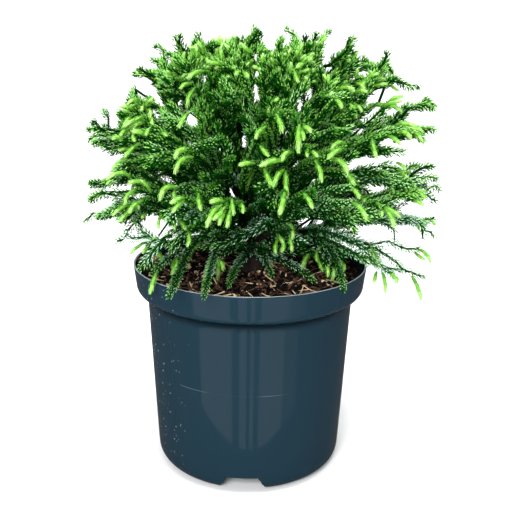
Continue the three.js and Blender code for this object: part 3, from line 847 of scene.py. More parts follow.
# New growth on the front of the crown: its depth y, then x and z of its foot, bend and point (mm).
TIPS = np.array([
    (-62,-39,313,-45,309,-45,299), (-62,-33,324,-40,325,-45,319), (-61,-42,315,-47,317,-50,312),
    (-94,-41,299,-46,296,-48,289), (-104,-39,274,-48,280,-50,270), (-105,-38,271,-48,273,-50,260),
    (-88,-60,284,-59,285,-56,283), (-82,-68,288,-71,285,-72,282), (-63,-79,274,-86,270,-90,264),
    (-76,-72,281,-78,285,-82,284), (-62,-83,281,-85,278,-82,275), (-58,-87,283,-93,282,-93,278),
    (-59,-90,277,-96,279,-99,276), (-48,-90,262,-98,258,-102,252), (-46,-87,257,-93,256,-95,251),
    (-72,-85,251,-92,259,-102,249), (-70,-75,245,-81,251,-87,246), (-68,-71,239,-75,249,-80,248),
    (-91,-50,247,-60,253,-62,239), (5,-70,226,-76,227,-78,220), (-74,-81,242,-88,242,-89,232),
    (-75,-76,235,-84,233,-86,226), (-116,-34,249,-34,243,-32,238), (-119,-43,246,-47,248,-52,243),
    (-119,-43,245,-47,243,-51,237), (-88,-51,245,-54,244,-52,241), (-123,-17,245,-22,248,-26,245),
    (-125,-18,243,-25,242,-28,229), (-125,-16,242,-19,239,-24,234), (-123,-15,241,-19,237,-20,230),
    (-121,-13,239,-14,235,-15,228), (-116,-12,245,-12,241,-11,235), (-109,-6,241,-4,239,-5,235),
    (-104,3,267,-3,269,-8,266), (-30,1,248,-5,247,-8,237), (-31,2,248,-2,242,-4,236),
    (-100,10,291,4,289,3,283), (-108,6,279,8,277,12,273), (-100,16,299,19,296,21,287),
    (-76,14,306,13,304,11,297), (-76,17,308,19,307,15,306), (-112,31,294,30,289,31,276),
    (-111,32,292,34,289,34,284), (-111,33,292,36,294,39,289), (-109,37,279,36,277,37,273),
    (-108,39,276,42,276,44,273), (-107,42,270,46,266,47,256), (-120,26,277,21,279,20,272),
    (-118,21,271,13,274,6,268), (-107,9,264,11,260,15,251), (-113,22,265,17,263,15,254),
    (-112,23,264,23,260,24,246), (-125,22,252,21,247,19,238), (-128,34,252,38,249,40,243),
    (-102,63,280,56,285,53,277), (-115,60,279,53,279,50,273), (-109,53,271,60,274,64,262),
    (-100,65,261,66,258,70,253), (-119,65,255,69,253,71,248), (-78,83,281,84,276,87,268),
    (-28,59,306,68,309,70,292), (-93,55,308,58,309,60,303), (-67,68,303,70,303,73,294),
    (-28,71,315,74,312,72,307), (-28,69,314,64,314,60,308), (-41,82,318,80,317,79,313),
    (-73,29,327,29,323,32,318), (-74,36,330,32,331,30,328), (-73,-8,325,-11,325,-11,322),
    (-73,-6,324,-4,324,-2,321), (-50,-18,315,-22,315,-24,316), (-23,-16,333,-18,329,-17,325),
    (-44,-32,333,-33,331,-31,330), (-121,66,245,73,244,76,234), (-68,83,237,82,237,80,234),
    (-88,87,238,92,237,91,229), (-94,92,236,95,237,103,230), (-95,92,235,96,234,99,223),
    (-82,94,283,98,283,102,278), (-77,101,285,106,289,110,281), (-76,99,290,105,294,114,290),
    (-68,103,263,109,261,109,258), (-65,94,303,98,310,105,309), (-66,92,302,97,306,104,306),
    (-61,120,241,124,240,127,236), (-87,113,240,117,239,120,237), (-20,-82,189,-88,189,-95,180),
    (-35,-77,192,-81,189,-83,185), (-21,-75,187,-72,180,-67,172), (-16,-70,190,-64,190,-62,182),
    (-72,-68,182,-70,176,-73,165), (-47,-56,184,-54,178,-60,172), (-40,-58,182,-60,177,-59,173),
    (-70,-52,220,-48,218,-46,213), (-75,-45,214,-42,209,-45,202), (-72,-56,222,-55,219,-54,214),
    (-50,-65,219,-62,218,-63,215), (-50,-66,218,-70,214,-68,208), (-40,-78,219,-81,217,-82,214),
    (-31,-38,192,-45,191,-49,178), (-46,-28,184,-32,179,-34,160), (-41,-26,182,-23,178,-25,161),
    (-52,-24,185,-20,184,-20,177), (-55,19,208,22,205,25,200), (-55,23,203,27,199,23,193),
    (-55,20,202,18,197,19,192), (-21,50,187,44,182,40,166), (-2,57,193,60,186,55,180),
    (-33,52,188,50,184,53,179), (-47,52,184,54,180,56,176), (-62,56,182,58,175,58,165),
    (-52,70,184,64,185,62,170), (-46,69,183,73,180,71,177), (-62,25,220,32,215,31,205),
    (-60,29,208,30,202,31,195), (-45,92,195,92,188,99,180), (-20,133,186,139,186,143,176),
    (-18,131,183,134,180,139,178), (-32,127,168,132,160,135,149), (-45,101,175,104,169,104,159),
    (-45,97,175,95,170,95,167), (-42,106,175,111,172,114,166),
]) * MM
# The part of the front where all new growth is among the tips above: middle and half axes (x, z).
FRONT_PATCH = np.array([[0.007, 0.233], [0.105, 0.088]])
FRONT_LOW = 0.195
# Which masses lead to the front, and the share of their branches that are left beside the listed shoots.
FRONT_FACING = -0.35
FRONT_THINNING = {"low": 0.35, "mid": 0.75, "high": 0.85, "top": 0.9}
# Half axes of the crown about the hub.
CROWN_HALF = np.array([0.138, 0.135, 0.158])
# What the shoots have to pass over: the mix inside one radius, and the rim from there out to another.
RIM_INNER, RIM_OUTER, RIM_TOP, MIX_TOP = 0.084, 0.1015, 0.1765, 0.1665
# Kinds of shoot, and the share of each, from its foot up, that bears no needles.
LEADER, BRANCH, SIDE, INNER, TIP_BRANCH, ROPE, OUTLINE = range(7)
BARE = (0.0, 0.05, 0.04, 0.08, 0.02, 0.0, 0.0)
STEM_BARE = 0.1
# From where on along boughs and trunk branches may start.
BOUGH_CLOTHED, TRUNK_CLOTHED = 0.12, 0.42
# How far the branches stray from their aims in each of their tries, how often the others are tried, and
# how far a side shoot may reach, for a crown of 1.
BRANCH_STRAYS = (0.0, 0.04, 0.06, 0.08, 0.1, 0.12)
SHOOT_TRIES, TIP_TRIES, SHOOT_LIMIT = 4, 5, 1.03


def clear_of_pot(curves):
    """Lifts the bend and end of each curve until it passes over the pot's rim and the mix."""
    for _ in range(6):
        places = points_on_each(curves, np.linspace(0.1, 1, 9))
        radius = np.hypot(places[..., 0], places[..., 1])
        floor = np.where(radius < RIM_INNER, MIX_TOP, np.where(radius < RIM_OUTER, RIM_TOP, -1.0))
        curves[:, 1:, 2] += np.maximum(floor - places[..., 2], 0).max(1)[:, None]
    return curves


def on_front_plane(places):
    """Where the front eye sees places on the upright plane y = 0."""
    ahead = places - FRONT_EYE
    return FRONT_EYE - ahead * (FRONT_EYE[1] / ahead[..., 1:2])


def crossings(curves, margin):
    """How many of 12 places on each curve stand in an opening that is widened by a margin.

    A place as the front eye sees it is in an ellipse when (along / half length)^2 + (across / half
    width)^2 is below 1."""
    seen = on_front_plane(points_on_each(curves, np.linspace(0.12, 1, 12)))
    x, z = seen[..., None, 0] - OPENINGS[:, 0], seen[..., None, 2] - OPENINGS[:, 1]
    cosine, sine = np.cos(OPENINGS[:, 4]), np.sin(OPENINGS[:, 4])
    along = (x * cosine + z * sine) / (OPENINGS[:, 2] + margin)
    across = (z * cosine - x * sine) / (OPENINGS[:, 3] + margin)
    return (along**2 + across**2 < 1).any(-1).sum(1)


def parted(places):
    """Moves places aside so that the crown stands open where light passes through it.

    A place is seen from the front eye on the upright plane y = 0. It moves across an opening's length,
    away from it: from the middle line to the edge at sqrt(1 - along^2) half widths, and not at all from
    PART_REACH half widths."""
    ratio = (FRONT_EYE[1] - places[..., 1]) / FRONT_EYE[1]
    x = FRONT_EYE[0] + (places[..., 0] - FRONT_EYE[0]) / ratio
    z = FRONT_EYE[2] + (places[..., 2] - FRONT_EYE[2]) / ratio
    first_x, first_z = x, z
    for middle_x, middle_z, half_length, half_width, lean in np.concatenate([OPENINGS, OPENINGS]):
        cosine, sine = math.cos(lean), math.sin(lean)
        along = ((x - middle_x) * cosine + (z - middle_z) * sine) / (half_length + PART_MARGIN)
        across = (z - middle_z) * cosine - (x - middle_x) * sine
        edge = (half_width + PART_MARGIN) * np.sqrt(np.clip(1 - along**2, 0, None))
        far = PART_REACH * (half_width + PART_MARGIN)
        push = np.sign(across) * np.clip(edge * (1 - np.abs(across) / far), 0, None)
        x, z = x - push * sine, z + push * cosine
    return places + np.stack([(x - first_x) * ratio, 0 * x, (z - first_z) * ratio], -1)


def torn(curves):
    """Whether a shoot would be drawn out across an opening, as two places near each other part there."""
    places = points_on_each(curves, np.linspace(0, 1, 9))
    steps = [np.linalg.norm(np.diff(line, axis=1), axis=-1) for line in (places, parted(places))]
    return (steps[1] - steps[0]).max(1) > TEAR


def on_listed_front(places, patch=True):
    """Whether places are on the low part of the front where the shoots are given by the ropes, or, with the
    patch, on all of the front where the new growth is given by the tips."""
    seen = on_front_plane(places)
    inside = (((seen[:, [0, 2]] - FRONT_PATCH[0]) / FRONT_PATCH[1]) ** 2).sum(1) < 1
    return (places[:, 1] < -0.015) & (inside & patch | (seen[:, 2] < FRONT_LOW))


def rim_curves():
    """The rim shoots as curves, each moved along its lines from the front eye to its own depth."""
    depth = RIM_FAN * np.sin(2.4 * np.arange(len(RIM)))[:, None] * np.array([0.3, 0.7, 1.0]) - 0.008
    seen = np.stack([RIM[..., 0], 0 * depth, RIM[..., 1]], -1)
    return FRONT_EYE + (seen - FRONT_EYE) * (1 - depth / FRONT_EYE[1])[..., None]


def tip_curves():
    """The tips as curves, which lean a little forwards."""
    depth = TIPS[:, :1] - np.array([0, 0.004, 0.003])
    return np.stack([TIPS[:, 1::2], depth, TIPS[:, 2::2]], -1)


def clearest(tries):
    """Of several tries at the same curves, the ones that cross the fewest openings, and how often they do."""
    scores = np.stack([crossings(curves, OPENING_MARGIN) for curves in tries])
    pick = np.argmin(scores, 0)
    order = np.arange(len(pick))
    return np.stack(tries)[pick, order], scores[pick, order]


def nearest_bough(directions, boughs):
    """The bough whose end lies most nearly in each direction from the hub."""
    return np.argmax(directions @ unit(boughs[:, 2] - HUB).T, axis=1)


def tip_branches(rng, boughs):
    """Branches from the boughs to the feet of the tips, one for each group of tips that start together."""
    feet = tip_curves()[:, 0]
    feet = feet[feet[:, 2] > FRONT_LOW + 0.012]
    order = np.arange(len(feet))
    near = np.linalg.norm(feet[:, None] - feet[None], axis=-1) < 0.006
    feet = feet[~(near & (order[None] < order[:, None])).any(1)]
    home = nearest_bough(unit(feet - HUB), boughs)
    tries = []
    for _ in range(TIP_TRIES):
        place, along = curve_points(boughs[home], rng.uniform(0.35, 0.98, len(feet)))
        length = np.linalg.norm(feet - place, axis=1)[:, None]
        bend = place + 0.5 * length * unit(along + unit(feet - place)) + UP * 0.14 * length
        tries.append(clear_of_pot(np.stack([place, bend, feet], 1)))
    return clearest(tries)[0], home


def how_low(directions):
    """1 for directions that are level or sink, 0 for steep ones."""
    return 1 - smooth_step(0.1, 0.55, directions[:, 2])


def tilted_fan(direction, tilt, turn):
    """Unit vectors at a tilt from one direction, turned about it."""
    side = unit(np.cross(direction, [0.21, 0.13, 1.0]))
    across = fan_out(side, np.cross(direction, side), turn)
    return direction * np.cos(tilt)[:, None] + across * np.sin(tilt)[:, None]


def limb_shoots(rng, curves, shares, lengths, angles, sides, droop):
    """Side shoots that leave curves at shares of their length, at an angle off them, to the given sides.

    The bend lies along the leaving direction, and the end is nearer to the limb's own direction and
    sinks by droop."""
    place, along = curve_points(curves, shares)
    out = unit(np.cross(along, place - HUB + 1e-6))
    over = np.cross(along, out)
    across = sides[:, None] * fan_out(out, over, rng.normal(0, 0.75, len(curves)))
    leave = fan_out(along, across, angles)
    arrive = fan_out(along, across, angles * rng.uniform(0.45, 0.95, len(curves)))
    bend = place + leave * (0.5 * lengths)[:, None]
    end = place + unit(leave + 1.3 * arrive) * lengths[:, None] - UP * (droop * lengths)[:, None]
    return np.stack([place, bend, end], 1)


def pulled_in(curves, surface, limit):
    """Draws in the curves whose ends are beyond a share of the crown's reach: bend and end are scaled
    towards the start."""
    away = curves[:, 2] - HUB
    reach = crown_reach(surface, unit(away)) * limit
    length = np.maximum(np.linalg.norm(curves[:, 2] - curves[:, 0], axis=1), 1e-6)
    scale = np.clip(1 - (np.linalg.norm(away, axis=1) - reach) / length, 0.35, 1)[:, None, None]
    curves[:, 1:] = curves[:, :1] + (curves[:, 1:] - curves[:, :1]) * scale
    return curves


def limb_axis(limb, first, root, leader_end):
    """Places along a limb from a share of its length to its root in a mass, and on along the leader."""
    lower = curve_points(np.broadcast_to(limb, (24, 3, 3)), np.linspace(first, 1, 24))[0]
    return np.concatenate([lower, root + (leader_end - root) * np.linspace(0, 1, 12)[1:, None]])


def along_axis(axis, share):
    """Places and directions at shares of the length of a line of points."""
    length = np.concatenate([[0], np.cumsum(np.linalg.norm(np.diff(axis, axis=0), axis=1))])
    place, ahead, behind = (
        np.stack([np.interp(share * length[-1] + step, length, axis[:, k]) for k in range(3)], -1)
        for step in (0, 0.004, -0.004))
    return place, unit(ahead - behind)


def mass_branches(rng, crown, surface, direction, axis, tier):
    """The long branches of a mass, and which of them bear new growth.

    They start along the mass's axis, the outermost first, and end on the crown's outside, at tilts off
    its direction that go with the root of their number, turned about it by the golden angle. They are
    tried once straight and then with more and more stray, and arch up where they leave sideways."""
    sprays = {"low": crown.skirt_sprays, "mid": crown.fresh_sprays}.get(tier, crown.crest_sprays)
    thinning = FRONT_THINNING[tier] if direction[1] < FRONT_FACING else 1.0
    count = round(crown.branches * FULLNESS[tier] * thinning)
    order = np.arange(count)
    away = np.sqrt((order + 0.35) / count)
    turn = order * GOLDEN_TURN + rng.uniform(0, FULL_TURN) + rng.normal(0, 0.15, count)
    fresh = rng.random(count) < sprays
    starts, forward = along_axis(axis, np.clip(1.0 - 0.85 * away + rng.normal(0, 0.08, count), 0.06, 0.95))
    tries = []
    for stray in BRANCH_STRAYS:
        aims = tilted_fan(direction, crown.spread * away, turn)
        aims = unit(aims + rng.normal(0, 1, (count, 3)) * stray)
        low, high = how_low(aims), smooth_step(0.75, 0.95, aims[:, 2])
        distance = crown_reach(surface, aims) * rng.uniform(0.94, 1.04 - 0.03 * high)
        distance -= np.where(fresh, 0.006 * (1 - high), 0)
        ends = HUB + aims * distance[:, None]
        length = np.linalg.norm(ends - starts, axis=1)
        heading = unit(0.5 * forward + 0.5 * unit(ends - starts))
        arch = (0.20 * low + 0.22 * (1 - low) * (1 - high)) * rng.uniform(0.4, 1.4, count) * length
        bends = starts + heading * (0.5 * length)[:, None] + UP * arch[:, None]
        tries.append(clear_of_pot(np.stack([starts, bends, ends], 1)))
    branches, crossed = clearest(tries)
    kept = (crossed < BRANCH_CROSSINGS) & ~on_listed_front(branches[:, 2], False) & ~torn(branches)
    return branches[kept], fresh[kept]


def branch_shoots(rng, surface, branches, shoots, first_share, last_share, longest):
    """Side shoots on a stretch of each branch, left and right by turns, and the branch of each."""
    owner = np.repeat(np.arange(len(branches)), shoots)
    step = np.tile(np.arange(shoots), len(branches))
    shares = first_share + (last_share - first_share) * (step + rng.uniform(0.1, 0.9, len(owner))) / shoots
    lengths = longest * rng.uniform(0.55, 1.0, len(owner))
    sides = np.where((step + owner) % 2 == 0, 1.0, -1.0)
    droop = (0.02 + 0.3 * how_low(unit(branches[:, 2] - HUB))[owner]) * rng.uniform(0.1, 1.2, len(owner))
    tries = []
    for _ in range(SHOOT_TRIES):
        angles = rng.uniform(0.5, 0.85, len(owner))
        grown = limb_shoots(rng, branches[owner], shares, lengths, angles, sides, droop)
        tries.append(clear_of_pot(pulled_in(grown, surface, SHOOT_LIMIT)))
    grown, crossed = clearest(tries)
    kept = (crossed < SIDE_CROSSINGS) & ~on_listed_front(grown[:, 2], False) & ~torn(grown)
    return grown[kept], owner[kept]


def bough_shoots(rng, crown, boughs):
    """Shoots on the outer part of each bough, to its two sides by turns, and the bough of each."""
    owner = np.repeat(np.arange(len(boughs)), crown.inner_shoots)
    step = np.tile(np.arange(crown.inner_shoots), len(boughs))
    shares = 0.25 + 0.7 * (step + rng.uniform(0.1, 0.9, len(owner))) / crown.inner_shoots
    grown = limb_shoots(
        rng, boughs[owner], shares, rng.uniform(0.024, 0.042, len(owner)), rng.uniform(0.4, 0.9, len(owner)),
        np.where(step % 2 == 0, 1.0, -1.0), rng.uniform(0, 0.25, len(owner)))
    kept = ~torn(grown)
    return clear_of_pot(grown[kept]), owner[kept]


def stem_shoots(rng, crown, trunk):
    """Shoots on the lower stem, with their leaving directions and their numbers. Even ones leave it all
    round, by the golden angle, and the odd ones towards the front. Most of them rise, some sink."""
    count = crown.stem_shoots
    order = np.arange(count)
    even = order % 2 == 0
    shares = 0.04 + 0.62 * (order + rng.uniform(0, 1, count)) / count
    place, _ = curve_points(np.broadcast_to(trunk, (count, 3, 3)), shares)
    turn = np.where(even, order * GOLDEN_TURN, -np.pi / 2 + 1.25 * np.sin(order * 2.4))
    leave = pointing(turn, rng.uniform(0.1, 0.8, count))
    length = np.where(even, rng.uniform(0.04, 0.07, count), rng.uniform(0.035, 0.055, count))[:, None]
    bend = place + leave * 0.5 * length
    swing = np.where(
        (order % 4 < 3) | ~even, rng.uniform(0.2, 1.2, count), rng.uniform(-0.4, 0, count))[:, None]
    sideways = np.stack([-np.sin(turn), np.cos(turn), 0 * turn], -1) * rng.normal(0, 0.7, (count, 1))
    end = bend + unit(leave + UP * swing + sideways) * 0.5 * length
    grown = clear_of_pot(np.stack([place, bend, end], 1))
    kept = ~torn(grown)
    return grown[kept], leave[kept], order[kept]


def grow(crown):
    """The whole branching plan, as a dictionary of arrays with one entry for each clothed shoot.

    A leader runs on from each bough into its mass, with the long branches and their side shoots round it.
    Then come the shoots on the boughs, the listed shoots, half of the ropes again at the back, the
    branches that carry the tips, and the shoots on the stem. A spray is a branch with its side shoots."""
    rng = np.random.default_rng(crown.seed)
    surface = crown_surface()
    trunk = trunk_curve()
    masses = mass_names()
    names, boughs, _ = bough_curves(trunk)
    limbs = {name: (curve, BOUGH_CLOTHED) for name, curve in zip(names, boughs)}
    limbs["top"] = (trunk, TRUNK_CLOTHED)
    homes = np.array([masses.index(name) for name in names])
    plan = {key: [] for key in ("curve", "rank", "mass", "spray", "fresh", "bare")}

    def add(curves, rank, mass, spray, fresh=False, bare=None):
        """Notes curves, with one value of each fact for all of them or one for each."""
        plan["curve"].append(curves)
        bare = BARE[rank] if bare is None else bare
        for key, value in (
                ("rank", rank), ("mass", mass), ("spray", spray), ("fresh", fresh), ("bare", bare)):
            plan[key].append(np.broadcast_to(value, len(curves)))

    spray = 0
    for mass, name in enumerate(masses):
        limb, first = limbs[name]
        root = limb[2]
        direction = unit(root - HUB)
        leader_end = HUB + direction * (crown_reach(surface, direction[None])[0] * LEADER_SHARE)
        add(np.array([[root, (root + leader_end) / 2, leader_end]]), LEADER, mass, spray)

        axis = limb_axis(limb, first, root, leader_end)
        branches, fresh = mass_branches(rng, crown, surface, direction, axis, tier_of(name))
        add(branches, BRANCH, mass, spray + np.arange(len(branches)), fresh)
        crest = direction[2] > CREST
        for shoots, first_share, last_share, longest in (
            (crown.end_shoots + 2 * crest, 0.60, 0.96, crown.shoot_length * (0.55 if crest else 0.68)),
            (crown.side_shoots, 0.28, 0.62, crown.shoot_length),
        ):
            grown, owner = branch_shoots(rng, surface, branches, shoots, first_share, last_share, longest)
            add(grown, SIDE, mass, spray + owner, fresh[owner])
        spray += len(branches)

    grown, owner = bough_shoots(rng, crown, boughs)
    add(grown, INNER, homes[owner], spray + owner)
    spray += len(boughs)

    behind = ROPES[::2] * [-1, -1, 1]
    for rank, placed in ((ROPE, np.concatenate([ROPES, behind[~torn(behind)]])), (OUTLINE, rim_curves())):
        placed = clear_of_pot(placed.copy())
        add(
            placed, rank, homes[nearest_bough(unit(placed[:, 2] - HUB), boughs)],
            spray + np.arange(len(placed)))
        spray += len(placed)
    branches, home = tip_branches(rng, boughs)
    kept = ~torn(branches)
    add(branches[kept], TIP_BRANCH, homes[home[kept]], spray + np.arange(kept.sum()))
    spray += kept.sum()

    grown, leave, order = stem_shoots(rng, crown, trunk)
    add(grown, INNER, homes[nearest_bough(leave, boughs)], spray + order, bare=STEM_BARE)
    return {key: np.concatenate(parts) for key, parts in plan.items()}


# ---------------------------------------------------------------- bark

# Light and dark colour of each wood, the scale of its grain, its roughness and its relief.
WOODS = {
    "Brown bark": ((0.15, 0.105, 0.08), (0.055, 0.038, 0.032), 260, 0.85, 0.0008),
    "Twig bark": ((0.14, 0.15, 0.08), (0.07, 0.09, 0.05), 400, 0.8, 0.0004),
}
# Radii of the stem's foot and tip, the greatest width and the height of its flare, and how far the
# ridges of the bark stand out, as a share of the radius.
TRUNK_FOOT, TRUNK_TIP = 0.0086, 0.0036
FLARE, FLARE_HEIGHT = 0.0046, 0.007
TRUNK_RELIEF, BOUGH_RELIEF = 0.075, 0.085
# Sides and rings of the tubes.
TRUNK_MESH, BOUGH_MESH, SHOOT_MESH, HEART_MESH = (56, 110), (18, 40), (4, 8), (5, 6)
# Radii of a shoot's foot and tip, for each kind of shoot.
SHOOT_RADII = np.array([
    [0.0016, 0.0009], [0.0012, 0.0007], [0.0010, 0.0007], [0.0010, 0.0007], [0.0011, 0.0007],
    [0.0014, 0.0008], [0.0013, 0.0009],
])


def bark_relief(rng, count, depth):
    """A radius rule with lengthwise ridges of stringy bark: waves round the limb that wander along it."""
    phase = rng.uniform(0, FULL_TURN, (count, 1, 1, 4))

    def relief(share, angle):
        """1 + depth (0.6 ridges + rings)."""
        wander = 1.2 * np.sin(7 * share + phase[..., 0]) + 0.7 * np.sin(17 * share + phase[..., 1])
        coarse = np.sin(7 * angle + wander + phase[..., 2])
        ridges = coarse + 0.6 * np.sin(13 * angle - 2 * wander + phase[..., 3])
        rings = 0.5 * np.sin(40 * share + 2 * np.sin(3 * angle + phase[..., 1]))
        return 1 + depth * (0.6 * ridges + rings)

    return relief


class OBJECT_OT_cryptomeria_wood(Operator):
    """Grow the stem, the boughs and the twigs, with the relief of their bark"""

    bl_idname = "object.cryptomeria_wood"
    bl_label = "Stem, boughs and twigs"

    def execute(self, context):
        crown = context.scene.cryptomeria_crown
        rng = np.random.default_rng(crown.seed + 1)
        bark, twig = (mottled_material(name, *looks) for name, looks in WOODS.items())
        stem = plain_material("Green stem", (0.04, 0.19, 0.05), 0.8, 0.05)

        trunk = trunk_curve()
        height = np.linalg.norm(trunk[2] - trunk[0])
        relief = bark_relief(rng, 1, TRUNK_RELIEF)

        def trunk_radius(index, share, angle):
            """A straight taper, and a flare in three ridges that dies away from the foot up."""
            flare = FLARE * (1 + 0.25 * np.cos(3 * angle + 0.7)) * np.exp(-share * height / FLARE_HEIGHT)
            return (TRUNK_FOOT + (TRUNK_TIP - TRUNK_FOOT) * share + flare) * relief(share, angle)

        corners, faces, _ = tubes(trunk[None], trunk_radius, *TRUNK_MESH)
        corners[:, 2] = np.maximum(corners[:, 2], trunk[0, 2])
        piece("stem", corners, faces, [bark], replaced=["trunk"])

        names, boughs, radii = bough_curves(trunk)
        relief = bark_relief(rng, len(boughs), BOUGH_RELIEF)

        def bough_radius(index, share, angle):
            """A straight taper."""
            return radii[index] * (1 + (BOUGH_TAPER - 1) * share) * relief(share, angle)

        corners, faces, _ = tubes(boughs, bough_radius, *BOUGH_MESH)
        piece("boughs", corners, faces, [bark], replaced=[f"bough_{name}" for name in names])

        plan = grow(crown)
        thick, thin = SHOOT_RADII[plan["rank"]].T

        def shoot_radius(index, share, angle):
            """A straight taper."""
            return thick[index] + (thin - thick)[index] * share

        corners, faces, owner = tubes(plan["curve"], shoot_radius, *SHOOT_MESH, parted)
        piece("twigs", corners, faces, [twig, stem], plan["rank"][owner] != LEADER)
        return {"FINISHED"}


# ---------------------------------------------------------------- needles

# How far the keel of a needle stands out, in widths, and its faces.
KEEL, FRESH_KEEL = 0.72, 0.35
NEEDLE_FACES = np.array([[0, 2, 3], [3, 2, 4], [0, 3, 1], [3, 4, 1]])
# Colours of a needle's foot, darker as painted shade, and point, lighter as a painted highlight.
DARK_TONES = {
    "deep": ((0.140, 0.350, 0.130), (0.520, 0.730, 0.490)),
    "bluish": ((0.240, 0.460, 0.280), (0.740, 0.890, 0.770)),
    "mid": ((0.140, 0.370, 0.095), (0.550, 0.770, 0.460)),
    "fresh": ((0.220, 0.500, 0.105), (0.500, 0.740, 0.330)),
    "shade": ((0.008, 0.180, 0.008), (0.020, 0.300, 0.015)),
}
DEEP, BLUISH, MIDDLE, FRESH, SHADE = range(5)
# Greens of shoots by the height of their ends, with the heights where they change, as shares of the
# crown's height over the mix, and the green that the young ends of each kind take.
# The bluish green of the lowest shoots is paler, partly as painted light on the low front of the crown.
HEIGHT_TONES, TONE_HEIGHTS = np.array([BLUISH, DEEP, MIDDLE, FRESH]), (0.12, 0.42, 0.86)
YOUNG_TONES = np.array([MIDDLE, MIDDLE, FRESH, FRESH])
YOUNG_FROM, YOUNG_FROM_OUTLINE = 0.74, 0.5
DEEP_INSIDE, SHADE_FROM = 0.075, 0.62
CROWN_FOOT = CROWN_HEIGHT = 0.17
CORE, ROPE_SPREAD, ROPE_WIDTH = 0.0008, 0.60, 0.8
# Roughness and specular level of a needle's foot and point, and of the point of the painted shade tone.
FOOT_SHEEN, POINT_SHEEN, SHADE_POINT_SHEEN = (0.7, 0.05), (0.40, 0.5), (0.40, 0.05)
PARTS = {"low_near": 0, "low_far": 1, "mid_near": 2, "mid_far": 3, "high": 4, "top": 5}


def needles(curves, owner, share, reach, radii, width, turn, keel_height):
    """Needles as keeled blades of four faces: a foot, two edges and a keel at the middle, and a point.

    share is where each foot sits on its curve, reach the share of the curve that the needle covers,
    radii the distances of foot, middle and point from the curve, turn the angle round it, and
    keel_height how far the keel stands out, in widths."""
    mine = curves[owner]
    foot, _ = curve_points(mine, share)
    middle, along = curve_points(mine, share + 0.44 * reach)
    point, _ = curve_points(mine, share + reach)
    out = fan_out(*cross_frame(mine, along), turn)
    half = np.cross(along, out) * (width / 2)[:, None]
    edge = middle + out * radii[1][:, None]
    keel = edge + out * (keel_height * width)[:, None]
    point = point + out * radii[2][:, None]
    shift = (parted(foot) - foot)[:, None]
    foot = foot + out * radii[0][:, None]
    corners = np.stack([foot, edge - half, edge + half, keel, point], 1) + shift
    return corners.reshape(-1, 3), numbered(NEEDLE_FACES, len(owner), 5)


def dealt(count):
    """The shoot and the place in its row of each needle, from the number of needles on each shoot."""
    owner = np.repeat(np.arange(len(count)), count)
    return owner, np.arange(len(owner)) - np.repeat(np.cumsum(count) - count, count)


def part_of_mass():
    """Which needle piece each mass belongs to, by its tier and whether it is in the tier's first half."""
    part = []
    for name in mass_names():
        tier, number = tier_of(name), int(name.split("_")[-1]) if "_" in name else 0
        if tier in ("high", "top"):
            part.append(PARTS["top" if number < 3 else "high"])
        else:
            part.append(PARTS[f"{tier}_near" if number <= 4 else f"{tier}_far"])
    return np.array(part)


